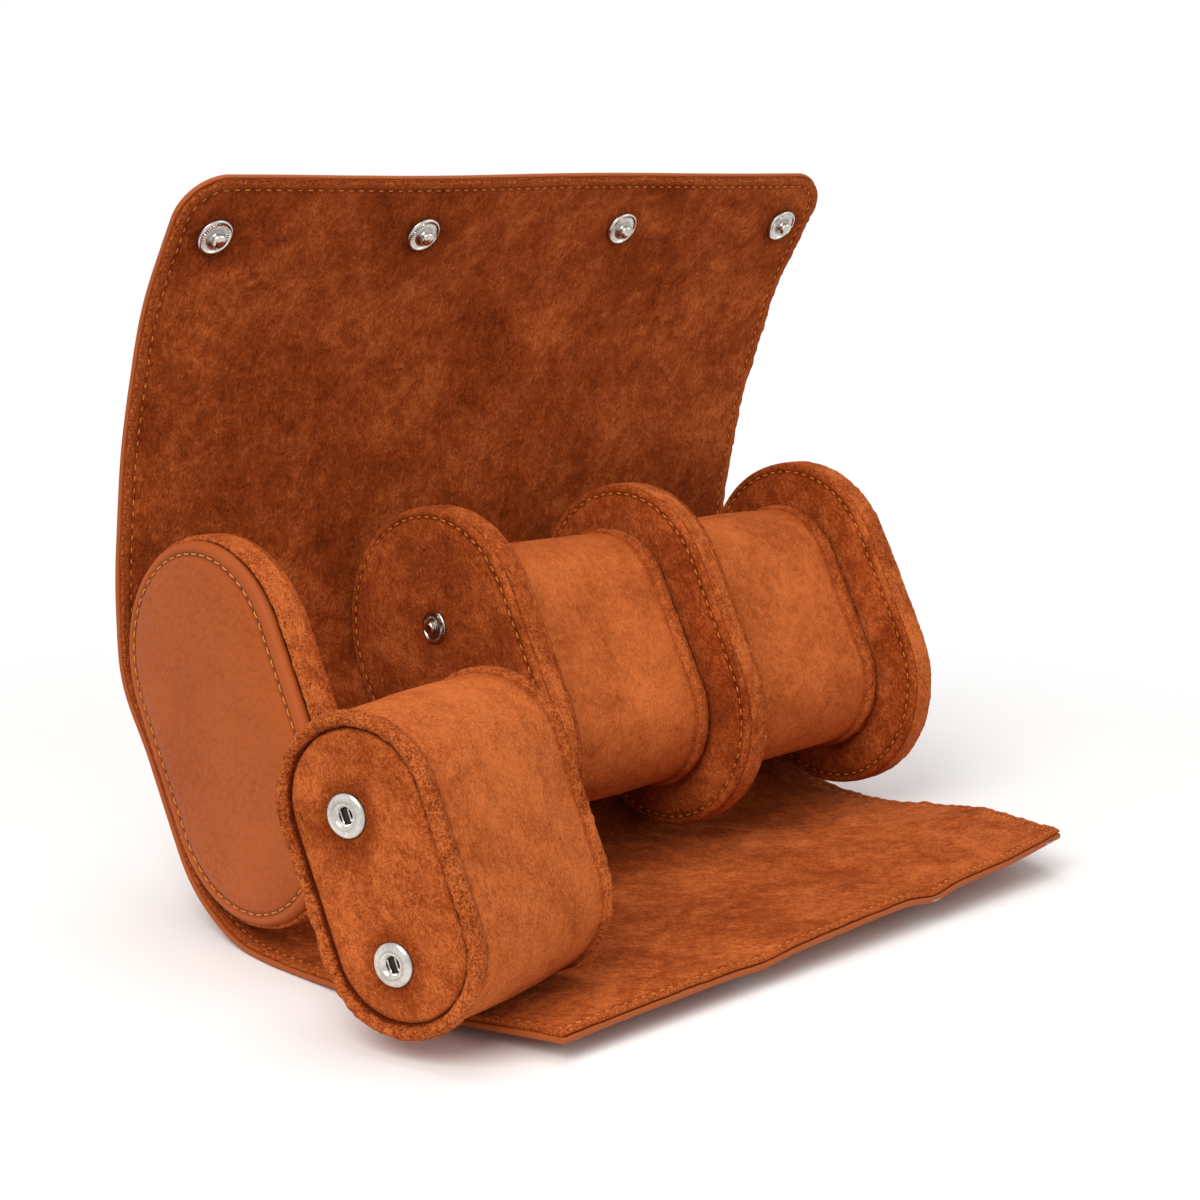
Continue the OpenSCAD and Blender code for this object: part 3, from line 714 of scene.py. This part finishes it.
# A face from under its rolled edge over the sewn line to its middle, as [r, z].
LEATHER_PAD = (
    (27.4, 2.2), (28.6, 2.5), (29.1, 3.1), (29.25, 3.9), (29.05, 4.7), (28.5, 5.35), (27.7, 5.8),
    (26.95, 5.9), (26.4, 5.75), (25.95, 5.45), (25.65, 5.3), (25.35, 5.5), (24.8, 5.95),
    (23.8, 6.4), (22.0, 6.8), (19.0, 7.1), (15.0, 7.3), (9.0, 7.42), (4.0, 7.46), (0.0, 7.46))
SUEDE_PAD = (
    (29.4, 2.0), (30.4, 2.15), (30.95, 2.45), (31.0, 2.9), (30.75, 3.45), (30.3, 3.85),
    (29.8, 4.0), (29.3, 3.92), (28.9, 3.68), (28.6, 3.5), (28.3, 3.68), (27.8, 3.95),
    (26.5, 4.12), (24.0, 4.2), (20.0, 4.26), (15.0, 4.35), (9.0, 4.41), (4.0, 4.44), (0.0, 4.44))
# Half of a band, from where it goes under the face to the middle of its width.
LEATHER_BAND = ((27.6, 2.2), (28.9, 2.5), (29.5, 3.1), (29.75, 3.6), (30.15, 3.85), (30.6, 3.75),
                (30.9, 3.3), (31.0, 2.6), (31.05, 1.2))
SUEDE_BAND = ((29.0, 2.0), (30.3, 2.1), (30.9, 2.3), (31.05, 2.1), (31.05, 1.2))
LEATHER_EDGE, SUEDE_EDGE, LEATHER_SEAM, SUEDE_SEAM = 29.25, 31.0, 25.65, 28.6
# How far the stitches on a face lie from the middle of the disc's thickness.
LEATHER_THREAD, SUEDE_THREAD = 5.62, 3.68
# How each disc is drawn out in its own plane, and how far its right side swells at the rim.
SPREAD = ((1.0, 0.0), (1.015, -0.5), (1.0, 0.0), (1.0, 0.0))
SWELL = 0.7
# How far the studs on each disc sit from its middle line.
STUD_SHIFT = (0.0, -2.6, 0.0, 0.0)


def disc_frame(number):
    """Moves points from a disc's own frame, drawn out as that disc is, to the case's."""
    move, turn_only = leaning_frame((DISC_X[number], DISC_Y, DISC_Z), LEAN)
    wide, shift = SPREAD[number]
    return (lambda p: move(np.asarray(p, float) * (wide, 1, 1) + (shift, 0, 0))), turn_only


def dress(piece, node, body):
    """A padded piece that stands for a node and rides on its body."""
    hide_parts(node)
    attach(piece, body)


def disc_face(node, number, side, smooth_skin, seed, studs):
    """One padded face. side is -1 for the face that looks to the left."""
    material, slot = (LEATHER, "smooth_leather") if smooth_skin else (SUEDE, "suede")
    profile = finer(LEATHER_PAD if smooth_skin else SUEDE_PAD, 0.4)
    edge_r, seam_r = ((LEATHER_EDGE, LEATHER_SEAM) if smooth_skin else
                      (SUEDE_EDGE, SUEDE_SEAM))
    points, faces = lathe(DISC_HALF, profile, arc=96, side=36)
    radius = np.repeat(profile[:, 0], len(points) // len(profile))
    local = points.copy()
    inner = smooth(seam_r - radius, 0.5, 5)
    pucker = np.exp(-((radius - seam_r) / 1.5) ** 2)
    grow = inner * (0.16 * noise(local, 14.0, seed) + 0.07 * noise(local, 5.0, seed + 1))
    run = np.arctan2(local[:, 1], local[:, 0]) * 36
    grow = grow + 0.06 * pucker * np.cos(2 * math.pi * run / STITCH_PITCH)
    rough = 0.012 if smooth_skin else 0.06
    grow = grow + rough * noise(local, 0.9, seed + 5) * (radius > 2)
    dents = np.zeros(len(local))
    if studs:
        for v in (-PLATE_V, PLATE_V):
            away = np.hypot(local[:, 0] - STUD_SHIFT[number], local[:, 1] - v)
            dents = dents + np.exp(-(away / 5.2) ** 4)
    local[:, 2] += grow * (local[:, 2] > 2.6) - 0.28 * dents
    local[:, 2] = np.where(dents > 0.2, np.minimum(local[:, 2], DISC_T / 2 + 0.02), local[:, 2])
    if smooth_skin:
        local[:, 1] *= 1.02 + 0.018 * smooth(edge_r - radius, 0, 3.4)
    elif side > 0:
        local[:, 2] += SWELL * smooth(radius, 21.5, 25.5) * smooth(local[:, 2], 2.0, 3.2)
    groove = np.exp(-((radius - seam_r) / 0.55) ** 2)
    # Painted shade: darker in the sewn groove and in the dents round the studs.
    tone = 0.12 - 0.8 * groove - 0.5 * dents
    if smooth_skin:
        # Painted shade: the leather is darker again in its groove and on the underside of its
        # rolled edge.
        tone = tone - 0.9 * groove - 1.1 * (points[:, 2] < 3.1) * (radius > 26)
    grain = smooth(seam_r - radius, 0.0, 2.5) if smooth_skin else np.ones_like(tone)
    raw = 0.0 * tone if smooth_skin else 0.3 * smooth(radius, edge_r - 1.6, edge_r - 0.3)
    look = np.stack([tone * (0.7 if smooth_skin else 1), 0.1 + 0.9 * grain, raw], -1)
    flat = local + (seed * 17.0, seed * 29.0, 0)
    local, faces, flat, look = weld(local, faces, flat, look)
    if side < 0:
        local = local * (1, 1, -1)
        faces = [f[::-1] for f in faces]
    piece = make(node + "_pad", disc_frame(number)[0](local), faces, material, flat, look, 60,
                 slot)
    dress(piece, node, "case_base")


def disc_rim(name, number, node, seed, bands):
    """The suede band round a disc, cut and raw beside a leather face."""
    halves = [finer(band, 0.4) for band in bands]
    profile = np.concatenate([halves[0] * (1, -1), [[31.05, 0.0]], halves[1][::-1]])
    points, faces = lathe(DISC_HALF, profile, closed_end=False, arc=170, side=56)
    local = points.copy()
    radius = np.repeat(profile[:, 0], len(points) // len(profile))
    middle = np.clip(local[:, 1], -DISC_HALF, DISC_HALF)
    way = local[:, :2] - np.stack([np.zeros(len(local)), middle], -1)
    way = way / np.linalg.norm(way, axis=1)[:, None]
    raw = sum(smooth(sign * local[:, 2], 1.4, 3.0) * (band is LEATHER_BAND)
              for sign, band in zip((-1, 1), bands))
    push = 0.10 * noise(local, 0.75, seed) + 0.10 * noise(local, 1.7, seed + 1)
    push = push * (0.5 + raw) + 0.14 * noise(local, 9.0, seed + 2) * (0.4 + 0.6 * raw)
    local[:, :2] += way * push[:, None] * (radius > 29.9)[:, None]
    local[:, 2] += 0.14 * noise(local, 1.2, seed + 3) * raw
    local[:, 2] += SWELL * smooth(points[:, 2], 0.0, 2.0)
    # Painted shade: the band is made much darker where it tucks in under the faces.
    tucked_shade = smooth(-radius, -30.3, -29.7) * (np.abs(points[:, 2]) > 1.5)
    tone = 0.42 + 0.12 * raw - 1.5 * tucked_shade
    look = np.stack([tone, np.ones_like(tone), 0.35 + 0.6 * raw], -1)
    piece = make(name, disc_frame(number)[0](local), faces, SUEDE,
                 local + (seed * 13.0, 0, seed * 7.0), look, 60, "suede")
    dress(piece, node, "case_base")


def stadium_stitches(half, radius, z, out, turn_only, move):
    """Stitches round a stadium line, as places in the case's frame."""
    centres, ways = ring_ways(half, 90, 40)
    line = np.concatenate([centres + ways * radius, np.full((len(ways), 1), z)], axis=1)
    line = np.concatenate([line, line[:1]])
    return [(move(three), turn_only(np.array(out, float))) for three in spaced(line, STITCH_PITCH)]


DISCS = (("left_end", "leather_face", "suede_face"),
         ("first_divider", "left_face", "right_face"),
         ("second_divider", "left_face", "right_face"),
         ("right_end", "suede_face", "leather_face"))
for number, (prefix, *nodes) in enumerate(DISCS):
    seed = 11 + 10 * number
    skins = ["leather" in node for node in nodes]
    for side, node, skin in zip((-1, 1), nodes, skins):
        disc_face(prefix + "_" + node, number, side, skin, seed + (3 if side > 0 else 0),
                  studs=side < 0 < number)
    disc_rim(prefix + "_rim_band", number, prefix + "_rim", seed + 6,
             [LEATHER_BAND if skin else SUEDE_BAND for skin in skins])
    move, turn_only = disc_frame(number)
    sewn = []
    for side, skin in zip((-1, 1), skins):
        half, seam, height = (
            (DISC_HALF + 1.5, LEATHER_SEAM, LEATHER_THREAD) if skin else
            (DISC_HALF, SUEDE_SEAM, SUEDE_THREAD + (SWELL if side > 0 else 0)))
        sewn += stadium_stitches(half, seam, side * height, (0, 0, side), turn_only, move)
    threads = stitch_mesh(prefix + "_stitches", sewn)
    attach(threads, "case_base")


# ---- Cushions ----
def cushion_profile(out):
    """The sleeve's outside from the end panel's seam round the rim to the middle of its length."""
    half_l = CUSHION_L / 2
    rim = [(16.4, 2.6), (16.5, 1.5), (16.75, 0.75), (17.2, 0.25), (17.8, 0.02 - out),
           (18.6, -out), (19.35, 0.3 - out * 0.8), (19.85, 0.85), (20.1, 1.6), (20.1, 2.4),
           (19.9, 3.1), (19.5, 3.65), (19.05, 4.0), (18.85, 4.35), (18.95, 4.9), (19.1, 5.8),
           (19.15, 7.2)]
    body = [(19.15 + 0.5 * math.sin(math.pi / 2 * k / 8), 8.2 + (half_l - 8.2) * k / 8)
            for k in range(9)]
    return rim + body


PANEL_PROFILE = ((16.75, 2.5), (16.7, 1.9), (16.35, 1.35), (15.7, 1.02), (14.6, 0.78),
                 (12.5, 0.58), (9.5, 0.46), (5.0, 0.4), (0.0, 0.38))


def socket_ends(local, u, v_places):
    # Dents for the sockets, and a ring round each that the panel's tone darkens as painted shade.
    away = [np.hypot(local[:, 0] - u, local[:, 1] - v) for v in v_places]
    return sum(np.exp(-(a / 5.4) ** 4) for a in away), sum(
        np.exp(-((a - 5.6) / 2.4) ** 2) for a in away)


def cushion(prefix, origin, lean, turn, flip, seed):
    """A cushion's sleeve, its two end panels and its sockets."""
    name, loose = prefix + "_cushion", prefix == "loose"
    aside, low = (LOOSE_SIDE, LOOSE_LOW) if loose else (0.0, 0.0)
    plain, sockets = finer(cushion_profile(0.0), 0.42), finer(cushion_profile(0.6), 0.42)
    profile = np.concatenate([plain, (sockets * (1, -1) + (0, CUSHION_L))[::-1][1:]])
    points, faces = lathe(CUSHION_HALF, profile, closed_end=False, arc=110, side=60)
    local = points.copy()
    count = len(points) // len(profile)
    middle = np.stack([np.zeros(len(local)),
                       np.clip(local[:, 1], -CUSHION_HALF, CUSHION_HALF)], -1)
    way = local[:, :2] - middle
    way = way / np.linalg.norm(way, axis=1)[:, None]
    from_end = np.minimum(points[:, 2], CUSHION_L - points[:, 2])
    rim = 1 - smooth(from_end, 2.8, 4.4)
    push = 0.28 * noise(local, 16.0, seed) + 0.12 * noise(local, 6.0, seed + 1)
    flat_side = np.abs(way[:, 0]) ** 3
    push = push + 0.25 * flat_side * np.sin(math.pi * points[:, 2] / CUSHION_L)
    push = push * (1 - rim)
    push = push + (0.16 * noise(local, 0.8, seed + 2) + 0.16 * noise(local, 1.9, seed + 3)) * (
        0.2 + 1.0 * rim)
    local[:, :2] += way * push[:, None]
    local[:, 2] += 0.16 * noise(local, 1.0, seed + 4) * rim * np.sign(
        points[:, 2] - CUSHION_L / 2) * (from_end < 2)
    # Painted shade: darker where the rim turns in to its seam with the end panel, and in the
    # groove behind the rim.
    inside = smooth(from_end, 0.3, 1.2) * (np.repeat(profile[:, 0], count) < 17.0)
    tone = (0.6 * (1 - rim) + 0.35 * rim - 1.6 * inside
            - 0.55 * np.exp(-((from_end - 4.3) / 0.7) ** 2))
    raw = 0.25 + 0.6 * rim if loose else 0.5 * rim
    even = 0.7 + (0.2 if loose else 0.3) * rim
    look = np.stack([tone, even + 0 * tone, raw], -1)
    offset = (seed * 11.0, seed * 5.0, 0)
    move, turn_only = leaning_frame(origin, lean, turn, flip)
    sleeve = make(name + "_suede_sleeve", move(local), faces, SUEDE, local + offset, look, 60,
                  "suede")
    dress(sleeve, prefix + "_sleeve", name)
    for end, node in ((0, "_plain_panel"), (1, "_socket_panel")):
        profile = finer(PANEL_PROFILE, 0.5)
        points, faces = lathe(CUSHION_HALF, profile, arc=60, side=40)
        radius = np.repeat(profile[:, 0], len(points) // len(profile))
        local = points.copy()
        places = (-PLATE_V - low, PLATE_V - low)
        holes, socket_shade_rings = socket_ends(local, aside, places) if end else (0, 0)
        local[:, 2] += 0.16 * noise(local, 11.0, seed + 7 + end) * smooth(17 - radius, 0.5, 5)
        local[:, 2] += 0.06 * noise(local, 0.9, seed + 8 + end)
        local[:, 2] = local[:, 2] + 0.32 * holes if end else local[:, 2]
        # Painted shade: darker where the panel runs into its seam with the rim, and round each
        # socket.
        tone = 0.3 - 1.5 * smooth(radius, 15.9, 16.7) - 0.6 * socket_shade_rings
        look = np.stack([tone, 0.8 + 0 * tone, 0.25 + 0 * tone], -1)
        flat = local + (seed * 19.0 + 50 * end, seed * 3.0, 60)
        local, faces, flat, look = weld(local, faces, flat, look)
        if end:
            local = local * (1, 1, -1) + (0, 0, CUSHION_L)
        else:
            faces = [f[::-1] for f in faces]
        panel = make(name + node + "_pad", move(local), faces, SUEDE, flat, look, 60, "suede")
        dress(panel, prefix + node, name)
    frames = [(move((aside, v - low, CUSHION_L - 0.4)), turn_only(np.eye(3)))
              for v in (-PLATE_V, PLATE_V)]
    place_snaps(name + "_press_sockets", "socket", frames, prefix + "_sockets", name)


# ---- Snaps ----
# Profiles from the suede upwards, as [r, z].
SOCKET_PROFILE = ((1.55, -0.24), (1.62, 0.05), (1.85, 0.4), (2.1, 0.68), (2.3, 0.88), (2.55, 1.0),
                  (2.85, 0.98), (3.0, 0.86), (3.2, 0.83), (3.7, 0.8), (4.2, 0.68), (4.6, 0.47),
                  (4.85, 0.2), (4.9, 0.0), (4.85, -0.15))
STUD_PROFILE = ((4.5, -0.15), (4.62, 0.0), (4.66, 0.3), (4.6, 0.62), (4.38, 0.86), (4.12, 0.92),
                (3.9, 0.82), (3.7, 0.6), (3.3, 0.5), (2.8, 0.55), (2.3, 0.72), (1.95, 0.95),
                (1.6, 1.15), (1.5, 1.4), (1.62, 1.75), (1.78, 2.1), (1.8, 2.4), (1.66, 2.7),
                (1.3, 2.95), (0.75, 3.08), (0.0, 3.1))
PLATE_PROFILE = ((0.0, -0.02), (3.5, -0.02), (3.9, 0.04), (4.0, 0.16), (3.9, 0.28), (3.4, 0.34),
                 (2.4, 0.38), (1.9, 0.5), (1.4, 0.56), (0.0, 0.56))


def turned(profile, segments=56, ribs=None):
    """A turned part as points and faces, with radial ribs between two radii if asked."""
    turn = 2 * math.pi * np.arange(segments) / segments
    points = []
    for r, z in profile:
        ring_z = np.full(segments, z)
        if ribs and ribs[0] < r < ribs[1]:
            ring_z = ring_z + ribs[2] * np.where(np.arange(segments) % 2, -1, 1)
        points.append(np.stack([r * np.cos(turn), r * np.sin(turn), ring_z], -1))
    return np.concatenate(points), quads(len(profile), segments, closed=True)


def snap(kind):
    """A stud's or socket's points and faces, standing on z = 0 with +Z out of the suede."""
    if kind == "stud":
        return weld(*turned(STUD_PROFILE, 64, (2.2, 3.8, 0.06)))
    if kind == "plate":
        return weld(*turned(PLATE_PROFILE, 40))
    p, f = turned(SOCKET_PROFILE)
    f = [face[::-1] for face in f]
    # Two wires of the spring cross the hole, above its floor.
    wire_r, steps, sides, floor_r, segments = 0.16, 9, 6, 1.56, 20
    added = []
    for side in (-1, 1):
        f += quads(steps, sides, len(p) + len(added), closed=True)
        for k in range(steps):
            v = -1.35 + 2.7 * k / (steps - 1)
            for j in range(sides):
                turn = 2 * math.pi * j / sides
                added.append((side * 1.0 + wire_r * math.cos(turn), v,
                              0.1 + wire_r * math.sin(turn)))
    f.append([len(p) + len(added) + k for k in range(segments)])
    added += [(floor_r * math.cos(2 * math.pi * k / segments),
               floor_r * math.sin(2 * math.pi * k / segments), -0.2) for k in range(segments)]
    return np.concatenate([p, np.array(added)]), f


def place_snaps(name, kind, frames, node, body):
    """Copies of a snap at several places, each an origin and three axes, as one piece."""
    p, f = snap(kind)
    points, faces = [], []
    for origin, axes in frames:
        faces += [[v + len(points) * len(p) for v in face] for face in f]
        points.append(p @ np.asarray(axes) + origin)
    away = np.hypot(p[:, 0], p[:, 1])
    # Painted shade on the snaps: the stud's neck and the foot of its flange, and the socket's
    # hole, groove and foot are marked dark.
    if kind == "stud":
        dark = 0.55 * np.exp(-((away - 2.0) / 0.5) ** 2) * (p[:, 2] < 1.6) + 0.4 * (away > 4.4)
    else:
        dark = (1 - smooth(away, 1.5, 2.0)) * (p[:, 2] < 0.04) + 0.5 * smooth(away, 4.5, 4.9)
        dark = dark + 0.45 * np.exp(-((away - 3.02) / 0.14) ** 2)
    look = np.stack([0 * dark, 0 * dark, np.clip(dark, 0, 1)], -1)
    piece = make(name, np.concatenate(points), faces, NICKEL, None,
                 np.tile(look, (len(frames), 1)), 35, "nickel")
    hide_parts(node)
    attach(piece, body)


def cover_frame(u, s, outside, depth):
    """A snap's place on the cover: its origin, and its axes across, along and out."""
    here = cover_place(u, s, depth)
    along = cover_place(u, s + 0.5, depth) - cover_place(u, s - 0.5, depth)
    across = cover_place(u + 0.5, s, depth) - cover_place(u - 0.5, s, depth)
    along, across = unit(along), unit(across)
    out = np.cross(across, along)
    if outside:
        out, across = -out, -across
    return here, (across, np.cross(out, across), out)


REAR_SNAPS = (STUD_X, S_END - STUD_EDGE, "rear_flap_top")
FRONT_SNAPS = (SOCKET_X, S_TIP + SOCKET_IN, "front_flap_tip")
for name, kind, (across, s, body), outside, depth, node in (
        ("flap_press_studs", "stud", REAR_SNAPS, False, -0.05, "flap_studs"),
        ("flap_press_sockets", "socket", FRONT_SNAPS, True, COVER_T - 0.6, "flap_sockets"),
        ("flap_stud_back_plates", "plate", REAR_SNAPS, False, LINING_T + 0.7,
         "flap_stud_rivets"),
        ("flap_socket_back_plates", "plate", FRONT_SNAPS, False, LINING_T - 0.1,
         "flap_socket_rivets")):
    place_snaps(name, kind, [cover_frame(x, s, outside, depth) for x in across], node, body)

divider_frames = []
for number in (1, 2, 3):
    move, turn_only = disc_frame(number)
    for v in (-PLATE_V, PLATE_V):
        divider_frames.append((move((STUD_SHIFT[number], v, -DISC_T / 2)),
                               0.9 * turn_only(np.array([[-1, 0, 0], [0, 1, 0], [0, 0, -1]]))))
place_snaps("divider_press_studs", "stud", divider_frames, "divider_studs", "case_base")

cushion("loose", LOOSE_AT, LOOSE_LEAN, LOOSE_TURN, CUSHION_L, 71)
for prefix, x, seed in (("middle", DISC_X[1], 83), ("right", DISC_X[2], 97)):
    cushion(prefix, (x + STORED, DISC_Y, DISC_Z), LEAN, 0.0, None, seed)


# ---- Floor, light and camera ----
CAMERA_AT = (-0.4708, -0.46495, 0.2013)
AZIMUTH, ELEVATION, ROLL = rad(-45.31), rad(11.12), rad(1.61)
LENS, SENSOR = 80.38, 36.0
FLOOR_HALF, FADE_FROM, FADE_TO = 1.2, 0.16, 0.34


def floor():
    m = Nodes("pale_floor")
    at = m.node("TexCoord").outputs["Object"]
    away = m.node("VectorMath", {0: at}, operation="LENGTH").outputs["Value"]
    fade = m.node("MapRange", {"Value": away, "From Min": FADE_FROM, "From Max": FADE_TO},
                  interpolation_type="SMOOTHSTEP").outputs[0]
    shader = m.node("BsdfPrincipled", {"Base Color": (0.94, 0.93, 0.925, 1), "Roughness": 0.9,
                                       "Specular IOR Level": 0.0})
    clear = m.node("BsdfTransparent")
    m.put(m.out, "Surface", m.node("MixShader", {0: fade, 1: shader, 2: clear}))
    mesh = bpy.data.meshes.new("floor")
    mesh.from_pydata([(x * FLOOR_HALF, y * FLOOR_HALF, 0)
                      for x, y in ((-1, -1), (1, -1), (1, 1), (-1, 1))], [], [(0, 1, 2, 3)])
    mesh.materials.append(m.owner)
    piece = link("floor", mesh)
    piece.location.z = -0.0002


def lamp(name, place, target, size, power, colour=(1, 1, 1)):
    data = bpy.data.lights.new(name, "AREA")
    data.shape, data.size, data.energy, data.color = "DISK", size, power, colour
    piece = link(name, data)
    piece.location = place
    piece.rotation_euler = (Vector(target) - Vector(place)).to_track_quat("-Z", "Y").to_euler()


def world():
    """Soft light on the object, and white where the background or its reflection is seen."""
    m = Nodes("studio", "World")
    bpy.context.scene.world = m.owner
    rays = m.node("LightPath").outputs
    seen = m.math("MAXIMUM", rays["Is Camera Ray"], rays["Is Transmission Ray"])
    seen = m.math("MAXIMUM", seen, rays["Is Glossy Ray"])
    soft = m.node("Background", {"Color": (1.0, 0.985, 0.97, 1), "Strength": 0.52})
    white = m.node("Background", {"Color": (1, 1, 1, 1), "Strength": 1.0})
    m.put(m.out, "Surface", m.node("MixShader", {0: seen, 1: soft, 2: white}))


def camera():
    back = Vector((math.sin(AZIMUTH) * math.cos(ELEVATION),
                   -math.cos(AZIMUTH) * math.cos(ELEVATION), math.sin(ELEVATION)))
    right = Vector((math.cos(AZIMUTH), math.sin(AZIMUTH), 0))
    up = back.cross(right)
    level = math.cos(ROLL) * right + math.sin(ROLL) * up
    upright = -math.sin(ROLL) * right + math.cos(ROLL) * up
    data = bpy.data.cameras.new("camera")
    data.sensor_width, data.lens = SENSOR, LENS
    data.clip_start, data.clip_end = 0.01, 20
    piece = link("camera", data)
    axes = Matrix((level, upright, back)).transposed()
    piece.matrix_world = Matrix.Translation(Vector(CAMERA_AT)) @ axes.to_4x4()
    bpy.context.scene.camera = piece


floor()
lamp("key", (-0.8, -0.35, 0.75), (0, 0.0, 0.05), 0.7, 8.5, (1.0, 0.985, 0.96))
lamp("fill", (0.5, -0.8, 0.5), (0, 0, 0.06), 0.7, 1.5)
lamp("top", (0.0, 0.1, 1.0), (0, 0, 0.0), 0.8, 3.0)
world()
camera()
bpy.context.scene.view_settings.view_transform = "Standard"
